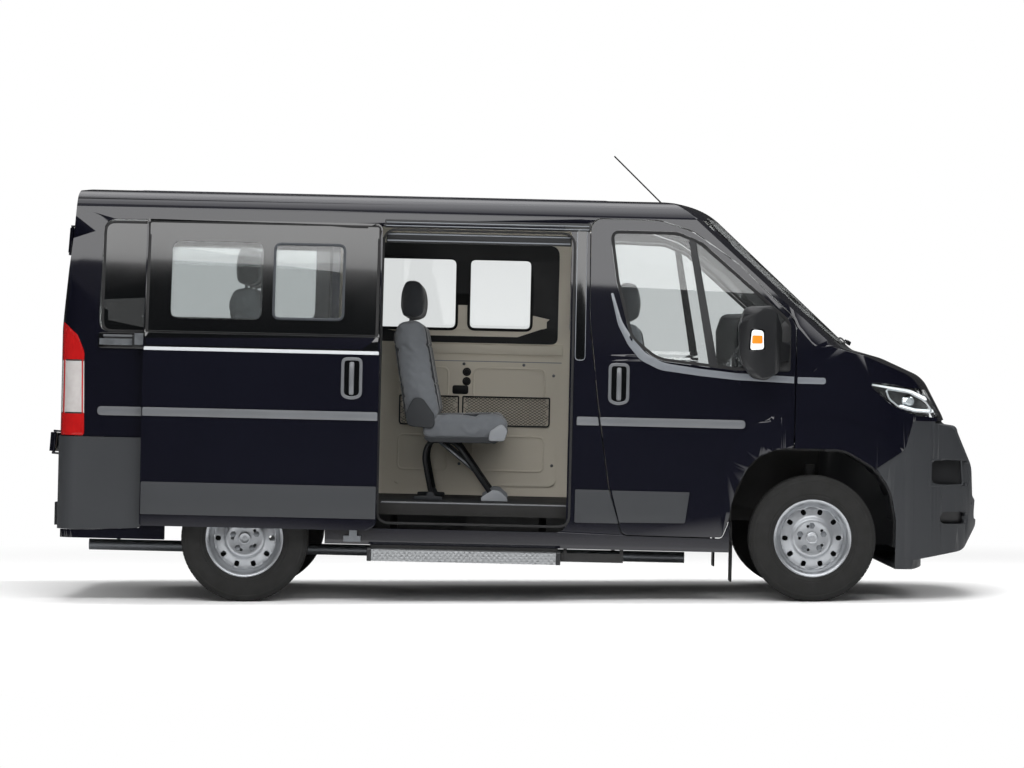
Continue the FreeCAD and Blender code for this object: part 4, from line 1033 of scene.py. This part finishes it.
floorTop = 502
thirdLift = 150                     # the third row stands on the step over the rear axle
rowPlaces = {"front": 600, "second": -569, "third": -1452}
secondPlaces = [(-220, 140), (140, 420), (420, 780)]
rows = seatRow("secondRow", rowPlaces["second"], floorTop, secondPlaces, [0, 280, 560], longPads, head)
thirdPlaces = [(-590, -196), (-196, 196), (196, 590)]
thirdRows = seatRow("thirdRow", rowPlaces["third"], floorTop + thirdLift, thirdPlaces, [-395, 0, 395],
                    shortPads, farHead)
frontPlaces = [(250, 740), (-335, 90), (-760, -335)]
frontRows = seatRow("frontRow", rowPlaces["front"], floorTop, frontPlaces, [495, -110, -560], farLongPads, farHead)


# What carries a bench: a moulded pan, side tubes that run back down to their feet, and foot covers.
def benchFrame(name, x, low, high, lift, run):
    z = floorTop + lift
    parts = []
    parts.append(block(name + "Pan", [
        (x + 20, z + 344, 12), (x + 60, z + 318, 14), (x + run - 90, z + 318, 26),
        (x + run - 30, z + 350, 20), (x + run - 74, z + 352, 8)], "XZ", low + 14, high - 14, 4, "seatShell"))
    for side, y in (("Right", low + 75), ("Left", high - 75)):
        top = z + 326
        legs = tube(name + "Leg" + side, [
            (x + 80, y, floorTop + 12), (x + 32, y, z + 240, 60), (x + 60, y, top, 50),
            (x + 200, y, top, 50), (x + 425, y, floorTop + 12)], 13, 16)
        parts.append(finished(raked(legs), "blackPlastic"))
        strut = tube(name + "Strut" + side, [(x + 118, y, top - 6), (x + 330, y + 4, floorTop + 150)], 9, 12)
        parts.append(finished(raked(strut), "steel"))
        parts.append(block(name + "RearFoot" + side, [
            (x - 18, floorTop + 1, 6), (x + 138, floorTop + 1, 6), (x + 138, floorTop + 20, 9),
            (x + 96, floorTop + 22, 6), (x + 88, floorTop + 44, 10), (x + 58, floorTop + 44, 10),
            (x + 48, floorTop + 22, 6), (x - 18, floorTop + 20, 9)],
            "XZ", y - 24, y + 24, 3, "seatShell"))
        parts.append(block(name + "FrontFoot" + side, [
            (x + 352, floorTop + 1, 4), (x + 498, floorTop + 1, 4), (x + 494, floorTop + 22, 8),
            (x + 452, floorTop + 58, 14), (x + 414, floorTop + 62, 10), (x + 352, floorTop + 20, 8)],
            "XZ", y - 26, y + 26, 4, "hingeCover"))
        outer, inner = (low, low + 14) if side == "Right" else (high - 14, high)
        parts.append(block(name + "HingeCover" + side, [
            (x + run - 128, z + 330, 16), (x + run - 40, z + 330, 18), (x + run - 20, z + 388, 20),
            (x + run - 56, z + 430, 26), (x + run - 120, z + 384, 26)], "XZ", outer, inner, 5, "hingeCover"))
        outer, inner = (low + 1, low + 13) if side == "Right" else (high - 13, high - 1)
        parts.append(block(name + "BackShell" + side, [
            (x - 62, z + 404, 40), (x + 92, z + 392, 40), (x + 86, z + 470, 40), (x + 20, z + 560, 60),
            (x - 30, z + 560, 30), (x - 72, z + 470, 60)], "XZ", outer, inner, 4, "seatShell"))
    return parts


def frontPlinth(name, low, high):
    corners = box(650, 1030, floorTop + 1, floorTop + 334, 10, 16)
    return block(name, corners, "XZ", low + 40, high - 40, 6, "seatShell")


rows += benchFrame("secondBench", rowPlaces["second"], -220, 780, 0, longRun)
thirdRows += benchFrame("thirdBench", rowPlaces["third"], -590, 590, thirdLift, shortRun)
frontRows += [frontPlinth("driverPlinth", 250, 740), frontPlinth("passengerPlinth", -760, 90)]
for pieces, node in ((rows, "second_row_bench"), (thirdRows, "third_row_bench"),
                     (frontRows, "front_seats")):
    for piece in pieces:
        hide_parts(node)
for piece in (*longPads, *shortPads, *farLongPads, head, farHead):
    bpy.data.objects.remove(piece)

say("lamps")
for side, sign in sides:
    lens = panels["headlamps"]
    sideInlay("lampBezel_" + side, [(1812, 1196, 20), (1925, 1184, 80), (2053, 1168, 150), (2160, 1110, 80),
                                    (2218, 1036, 14), (2206, 1026, 14), (2083, 1036, 80),
                                    (1952, 1092, 150)], lens, sign, 62, 3, "blackPlastic")
    sideInlay("lampTopLine_" + side, [(1818, 1196, 4), (1925, 1181, 100), (2050, 1165, 150),
                                      (2140, 1118, 80), (2132, 1106, 60), (2046, 1152, 150),
                                      (1925, 1170, 100), (1836, 1184, 4)],
              lens, sign, 30, 6, "lampLight")
    sideInlay("lampBay_" + side, [(1906, 1172, 20), (2042, 1154, 60), (2122, 1112, 60), (2180, 1040, 20),
                                  (2066, 1048, 80), (1985, 1068, 60), (1930, 1110, 60)], lens, sign, 34, 8,
                                  "chrome", width=9)
    sideInlay("lampShelf_" + side, [(1985, 1072, 10), (2066, 1052, 60), (2176, 1044, 10), (2168, 1060, 8),
                                    (2070, 1066, 60), (1994, 1086, 10)], lens, sign, 40, 8, "lampLight")
    spot = onSide(lens, 2050, 1105, sign)
    projector = turned("projector_" + side, [(0, 18), (14, 16.5), (26, 12), (34, 3), (36, 0), (40, -2),
                                             (44, -2), (46, -6), (46, -34), (0, -34)],
                       (2044, spot.y - sign * 62, 1105), (0.5, sign * 0.85, 0.05), 40)
    raked(projector)
    finished(projector, "chrome")
    for index, z in enumerate((944, 1222)):
        sidePlate(f"tailLampSeam{index}_{side}", box(-2436, -2322, z - 4, z + 4, 2),
                  panels["tail_lamps"], sign, 1, "blackPlastic", every=25, bevel=0.3)
    sideFrame("tailLampRim_" + side, [(-2432, 832, 10), (-2322, 832, 12), (-2330, 1265, 60),
                                      (-2365, 1345, 60), (-2432, 1415, 20)],
              7, panels["tail_lamps"], sign, 1.5, "tailRed", bevel=0.5)

say("front bumper")
# A dark liner behind the openings at each corner of the bumper.
for side, sign in sides:
    edge = []
    for x in range(2110, 2381, 30):
        point = onSide(panels["front_bumper"], x, 610, sign)
        edge.append((x, point.y - sign * 62))
    behind = [(x, y - sign * 10) for x, y in reversed(edge)]
    block("cornerLiner_" + side, edge + behind, "XY", 430, 826, 1, "blackPlastic", segments=2)
    sideFrame("intakeRim_" + side, [(2156, 650, 26), (2365, 660, 14), (2352, 808, 14), (2156, 800, 36)], 9,
              panels["front_bumper"], sign, 0.8, "plastic", bevel=0.3)

block("mouthLiner", [(-480, 452, 20), (480, 452, 20), (430, 636, 20), (-430, 636, 20)], "YZ", 2338, 2346, 2,
      "blackPlastic")
for index in range(3):
    z = 500 + 38 * index
    block(f"mouthBar{index}", [(2395, z, 3), (2402, z - 5, 3), (2440, z - 5, 4), (2440, z + 5, 4), (2402, z + 5, 3)],
          "XZ", -432, 432, 2, "blackPlastic")

say("wipers")
screen = panels["windscreen"]


def offScreen(x, y, gap):
    point = onTop(screen, x, y)
    while point.z < 1000:
        x -= 5
        point = onTop(screen, x, y)
    return (x + gap * 0.45, y, point.z + gap * 0.9)


for name, start, end, pivot in (("Right", -640, -90, -300), ("Left", -30, 560, 300)):
    blade = tube("wiperBlade" + name, [offScreen(1735 - abs(y) * 0.02, y, 9) for y in
                                      [start + (end - start) * k / 7 for k in range(8)]], 5, 10)
    finished(raked(blade), "rubber")
    arm = tube("wiperArm" + name, [offScreen(1776, pivot, 16),
                                   offScreen(1758, (pivot + start + 180) / 2, 22) + (40,),
                                   offScreen(1736, (start + end) / 2, 15)], 6, 12)
    finished(raked(arm), "blackPlastic")
    base = offScreen(1778, pivot, 6)
    boss = turned("wiperBoss" + name, [(0, 22), (9, 22), (14, 18), (15, 0), (0, 0)], base, (0.5, 0, 0.86), 28)
    finished(raked(boss), "blackPlastic")

say("rear doors")
for side, sign in sides:
    door = "rear_door_" + side
    low, high = sorted((sign * 60, sign * 735))
    endPlate("rearStrip_" + side, box(low, high, 612, 690, 8), panels[door], -1, 4, "plastic", door)
endPlate("plateRecess", box(128, 672, 748, 886, 18), panels["rear_door_left"], -1, 2,
         "blackPlastic", "rear_door_left")
endPlate("blankPlate", box(140, 660, 760, 870, 8), panels["rear_door_left"], -1, 4, "blank", "rear_door_left")
endPlate("rearHandlePlate", box(-150, -26, 1010, 1120, 20), panels["rear_door_right"],
         -1, 2, "glossBlack", "rear_door_right")
endPlate("rearHandle", box(-136, -40, 1046, 1082, 14), panels["rear_door_right"], -1, 9,
         "blackPlastic", "rear_door_right", bevel=4)

say("dashboard")
block("instrumentHood", [(1192, 1338, 10), (1372, 1336, 10), (1340, 1392, 60), (1216, 1406, 40)], "XZ", 350,
      650, 12, "dash", segments=4)
block("centreStack", [(1146, 1130, 20), (1200, 1100, 10), (1200, 1344, 10), (1164, 1352, 30)], "XZ", -95,
      135, 8, "dash")
block("centreDisplay", box(-72, 112, 1218, 1326, 8), "YZ", 1144, 1152, 2, "glossBlack")
for index, y in enumerate((-790, -185, 225, 790)):
    vent = turned(f"airVent{index}", [(0, 4), (30, 4), (32, 9), (42, 12), (47, 8), (48, 0), (0, 0)],
                  (1181, y, 1268), (-1, 0, 0), 36)
    finished(raked(vent), "blackPlastic")
lever = tube("gearLever", [(1196, 176, 1096), (1150, 176, 1120, 30), (1122, 176, 1192)], 8, 14)
knob = turned("gearKnob", [(0, 40), (14, 38), (24, 26), (25, 12), (16, 0), (0, 0)], (1126, 176, 1182),
              (-0.36, 0, 0.93), 28)
finished(raked(joined("gearLever", [lever, knob])), "dash")
for name, y, wide in (("clutchPedal", 395, 56), ("brakePedal", 495, 60), ("throttlePedal", 600, 44)):
    shaft = tube(name + "Shaft", [(1400, y, 902), (1386, y, 760, 60), (1340, y, 640)], 8, 12)
    rest = solid(name + "Rest", [(1318, 596, 4), (1332, 592, 4), (1358, 668, 4), (1344, 672, 4)], "XZ",
                 y - wide / 2, y + wide / 2, 3)
    finished(raked(joined(name, [shaft, rest])), "blackPlastic")

say("mirrors")
for side, sign in sides:
    door = "front_door_" + side
    housing = panels["mirror_" + side]
    sidePlate("turnLampRim_" + side, [(1168, 1345, 18), (1255, 1352, 18), (1252, 1462, 24),
                                      (1176, 1469, 24)], housing, sign,
              0.3, "glossBlack", door, 20, 0.3)
    sidePlate("turnLampWhite_" + side, [(1176, 1353, 14), (1247, 1359, 14), (1244, 1455, 20),
                                        (1183, 1461, 20)], housing, sign,
              0.9, "lampLight", door, 20, 0.3)
    sidePlate("turnLampOrange_" + side, [(1184, 1386, 8), (1240, 1388, 8), (1238, 1430, 8),
                                         (1186, 1430, 8)], housing, sign,
              1.5, "orange", door, 16, 0.3)

say("side step")
for name, left, right in (("stepCapRear", -802, -778), ("stepCapFront", 188, 213)):
    block(name, [(-1162, 204.5, 6), (-938, 204.5, 6), (-938, 272, 8), (-1162, 272, 12)], "YZ", left, right,
          3, "blackPlastic", "side_step")

say("door opening")
openingEdge = box(-764, 262, 394, 1958, 70, 80)
sideFrame("openingSeal", openingEdge, 13, panels["body_side_right"], -1, 5, "rubber")
sidePlate("headerBand", [(-752, 1962, 3), (338, 1962, 6), (338, 2006, 6), (-752, 2006, 3)],
          panels["body_side_right"], -1, 3, "blackPlastic")
for index, z in enumerate((1970, 1988)):
    sidePlate(f"headerLine{index}", box(-746, 330, z, z + 5, 2), panels["body_side_right"],
              -1, 5, "windowTrim", bevel=0.5)
block("guideRail", box(-744, 238, 1884, 1938, 3), "XZ", -896, -872, 3, "blackPlastic")
for index, z in enumerate((1892, 1926)):
    block(f"guideLine{index}", box(-740, 232, z, z + 7, 2), "XZ", -899, -894, 1, "windowTrim")
block("entrySill", box(-742, 240, 504, 512, 3), "XZ", -918, -868, 2, "greyMouldingAndHighlight")

say("far wall of the cabin")
wall = panels["body_side_left"]
trim = panels["side_trim"]
piercedPlate("windowSurround", box(-905, 196, 1380, 1945, 40, 60),
             [box(-866, -388, 1456, 1862, 46),
              box(-320, 42, 1458, 1862, 42)], wall, -1, 6, "blackPlastic")
for name, corners in {
        "farPaneFrame0": box(-874, -380, 1448, 1870, 50),
        "farPaneFrame1": box(-328, 50, 1450, 1870, 46)}.items():
    sideFrame(name, corners, 16, wall, -1, 10, "rubber")
sidePlate("wallLedge", box(-722, 226, 1318, 1374, 8, 12), wall, -1, 22, "beige", bevel=5)
sidePlate("wallLine", box(-716, 222, 1272, 1277, 2), trim, -1, 1, "hingeCover", bevel=0)
for name, corners in {
        "wallRecess0": box(-289, 132, 1057, 1241, 40),
        "wallRecess1": box(-716, -424, 1057, 1241, 40),
        "wallRecess2": box(-289, 132, 640, 850, 40),
        "wallRecess3": box(-716, -424, 640, 850, 40)}.items():
    sideFrame(name, corners, 11, trim, -1, 8, "beige", bevel=3.5)
for index, (x, z) in enumerate(((-323, 1212), (-323, 1158))):
    knob = turned(f"wallKnob{index}", [(0, 24), (13, 24), (17, 20), (18, 10), (24, 6), (25, 0), (0, 0)],
                  (x, onSide(trim, x, z, -1).y + 1, z), (0, -1, 0), 28)
    finished(raked(knob), "blackPlastic")
sidePlate("wallSocket", box(-404, -312, 1084, 1134, 14), trim, -1, 10,
          "blackPlastic", bevel=3)
for index, (x, z) in enumerate(((-340, 1258), (5, 1258), (178, 682), (178, 1200), (-700, 1258),
                                (-356, 682))):
    screw = turned(f"wallScrew{index}", [(0, 3), (5, 3), (8, 1.5), (9, 0), (0, 0)],
                   (x, onSide(trim, x, z, -1).y + 0.5, z), (0, -1, 0), 18)
    finished(raked(screw), "steel")


def netDepth(x, z, low, high):
    return onSide(trim, x, z, -1).y - 10 - 13 * (z - low) / (high - low)


pockets = {"netPocket0": (-709, -363, 901, 1074), "netPocket1": (-346, 161, 901, 1074)}
for name, (left, right, low, high) in pockets.items():
    corners = box(left, right, low, high, 24, 10)
    sideFrame(name + "Frame", corners, 8, trim, -1, 14, "blackPlastic", bevel=2.5)
    # Crossed cords: a bar is laid along each diagonal run, cut to the pocket, and joined to the others.
    cords = []
    spacing, slope = 26, 0.62
    tall = high - low
    count = int((right - left + tall / slope) / spacing) + 1
    for lean in (1, -1):
        for step in range(count + 1):
            start = left + step * spacing if lean < 0 else left - tall / slope + step * spacing
            points = []
            for along in range(9):
                z = low + tall * along / 8
                x = start + lean * (z - low) / slope
                if left + 3 < x < right - 3:
                    points.append((x, netDepth(x, z, low, high) + 0.8 * lean, z))
            if len(points) > 1:
                cords.append(tube("netCord", points, 1.3, 5))
    net = joined(name, cords)
    finished(raked(net), "net")

say("belts, ribs and flap")
for side, sign in (("Right", -1), ("Left", 1)):
    wallPanel = panels["body_side_" + side.lower()]
    sidePlate("beltCover" + side, box(262, 318, 1460, 1890, 16, 20), wallPanel, -sign, 26,
              "hingeCover", bevel=6)
    sidePlate("beltStrap" + side, box(268, 314, 640, 1462, 2), wallPanel, -sign, 3, "net", bevel=0.4)
for index, y in enumerate((-560, -190, 190, 560)):
    topPlate(f"roofRib{index}", box(-2120, 420, y - 26, y + 26, 24),
             panels["roof_panel"], 3, "paint", every=120, bevel=2.5)
sideFrame("fuelFlapGap", [(286, 1040, 16), (390, 1040, 16), (384, 1150, 16), (286, 1150, 16)], 4,
          panels["body_side_left"], 1, 0.6, "rubber", bevel=0)

say("floor, lamps and camera")
stageSizes = {"floorHalf": 60.0, "whiteFrom": 3.6, "whiteTo": 7.5}
nothingSelected()
bpy.ops.mesh.primitive_plane_add(size=2 * stageSizes["floorHalf"], location=(0, 0, 0))
floor = bpy.context.object
floor.name = "studioFloor"
floor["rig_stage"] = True


def floorFinish():
    # matt white studio floor: it keeps the vehicle's shadow and turns to the background's white further out,
    # while in the lacquer's reflections it is as dim there as the studio's walls
    material, tree, output = newMaterial("mattStudioFloor")
    place = addNode(tree, "ShaderNodeTexCoord").outputs["Object"]
    away = addNode(tree, "ShaderNodeVectorMath", {}, {0: place}, operation="LENGTH")
    share = addNode(tree, "ShaderNodeMapRange", {"From Min": stageSizes["whiteFrom"],
                                                 "From Max": stageSizes["whiteTo"]},
                    {"Value": away.outputs["Value"]}, interpolation_type="SMOOTHSTEP")
    matt = addNode(tree, "ShaderNodeBsdfDiffuse", {"Color": (0.9, 0.9, 0.9, 1)})
    white = addNode(tree, "ShaderNodeEmission", {"Color": (1, 1, 1, 1), "Strength": 1.0})
    ray = addNode(tree, "ShaderNodeLightPath")
    seen = addNode(tree, "ShaderNodeMath", {}, {0: ray.outputs["Is Camera Ray"],
                                                1: ray.outputs["Is Transmission Ray"]},
                   operation="MAXIMUM")
    far = addNode(tree, "ShaderNodeMath", {}, {0: share.outputs["Result"], 1: seen.outputs[0]},
                  operation="MULTIPLY")
    shine = addNode(tree, "ShaderNodeMath", {}, {0: share.outputs["Result"],
                                                 1: ray.outputs["Is Glossy Ray"]},
                    operation="MULTIPLY")
    wall = addNode(tree, "ShaderNodeEmission", {"Color": (1, 1, 1, 1), "Strength": 0.035})
    dim = addNode(tree, "ShaderNodeMixShader", {}, {0: shine.outputs[0], 1: matt.outputs["BSDF"],
                                                    2: wall.outputs["Emission"]})
    both = addNode(tree, "ShaderNodeMixShader", {}, {0: far.outputs[0], 1: dim.outputs["Shader"],
                                                     2: white.outputs["Emission"]})
    tree.links.new(both.outputs["Shader"], output.inputs["Surface"])
    return material


floor.data.materials.append(floorFinish())

world = bpy.data.worlds.new("studio")
scene.world = world
world.use_nodes = True
worldTree = world.node_tree
worldTree.nodes.clear()
sky = addNode(worldTree, "ShaderNodeTexCoord").outputs["Generated"]
height = addNode(worldTree, "ShaderNodeSeparateXYZ", {}, {0: sky})
# The walls of the studio stay dim at eye level, and the ceiling's soft boxes are white.
ceiling = addNode(worldTree, "ShaderNodeMapRange", {"From Min": 0.45, "From Max": 1.0, "To Min": 0.035,
                                                    "To Max": 3.2},
                  {"Value": height.outputs["Z"]}, interpolation_type="SMOOTHSTEP")
rays = addNode(worldTree, "ShaderNodeLightPath")
shown = addNode(worldTree, "ShaderNodeMath", {}, {0: rays.outputs["Is Camera Ray"],
                                                  1: rays.outputs["Is Transmission Ray"]},
                operation="MAXIMUM")
level = addNode(worldTree, "ShaderNodeMix", {2: 0.34}, {0: rays.outputs["Is Glossy Ray"],
                                                        3: ceiling.outputs["Result"]})
strength = addNode(worldTree, "ShaderNodeMix", {3: 1.0}, {0: shown.outputs[0], 2: level.outputs[0]})
light = addNode(worldTree, "ShaderNodeBackground", {"Color": (1, 1, 1, 1)},
                {"Strength": strength.outputs[0]})
addNode(worldTree, "ShaderNodeOutputWorld", {}, {"Surface": light.outputs["Background"]})

lamps = {
    # name: place, aimed at, size in metres, watts
    "overheadBox": ((0, 0, 6.5), (0, 0, 0), (7.0, 1.0), 520),
    "sideBox": ((-0.6, -4.6, 3.6), (0, -0.4, 1.6), (7.5, 1.1), 110),
    "farSideBox": ((0, -8.5, 7.5), (0, -0.5, 0.8), (8.0, 2.5), 420),
    "doorFill": ((-0.3, -7, 1.9), (-0.2, 0.5, 1.1), (3.0, 1.5), 110),
    "frontBox": ((8, -3, 5.5), (1.5, 0, 0.8), (4.0, 2.0), 160),
    "backBox": ((-8, 6, 5.5), (-1, 0, 1.0), (4.0, 2.0), 160),
}
for name, (place, aim, spread, watts) in lamps.items():
    lampData = bpy.data.lights.new(name, "AREA")
    lampData.shape = "RECTANGLE"
    lampData.size, lampData.size_y = spread
    lampData.energy = watts
    lamp = bpy.data.objects.new(name, lampData)
    lamp.location = place
    lamp.rotation_mode = "QUATERNION"
    lamp.visible_camera = False
    lamp.visible_glossy = name == "sideBox"
    lamp.rotation_quaternion = (Vector(aim) - Vector(place)).to_track_quat("-Z", "Y")
    scene.collection.objects.link(lamp)

cameraView = {"place": (-0.0352, -22.0, 1.149), "lens": 139.96, "sensor": 36.0}
cameraData = bpy.data.cameras.new("photoCamera")
cameraData.lens = cameraView["lens"]
cameraData.sensor_width = cameraView["sensor"]
cameraData.clip_end = 200
camera = bpy.data.objects.new("photoCamera", cameraData)
camera.location = cameraView["place"]
camera.rotation_euler = (math.radians(90), 0, 0)
scene.collection.objects.link(camera)
scene.camera = camera
scene.view_settings.view_transform = "Standard"

say("done")
low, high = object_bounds()
{"cad": [list(cadLow), list(cadHigh)], "visual": [list(low), list(high)]}
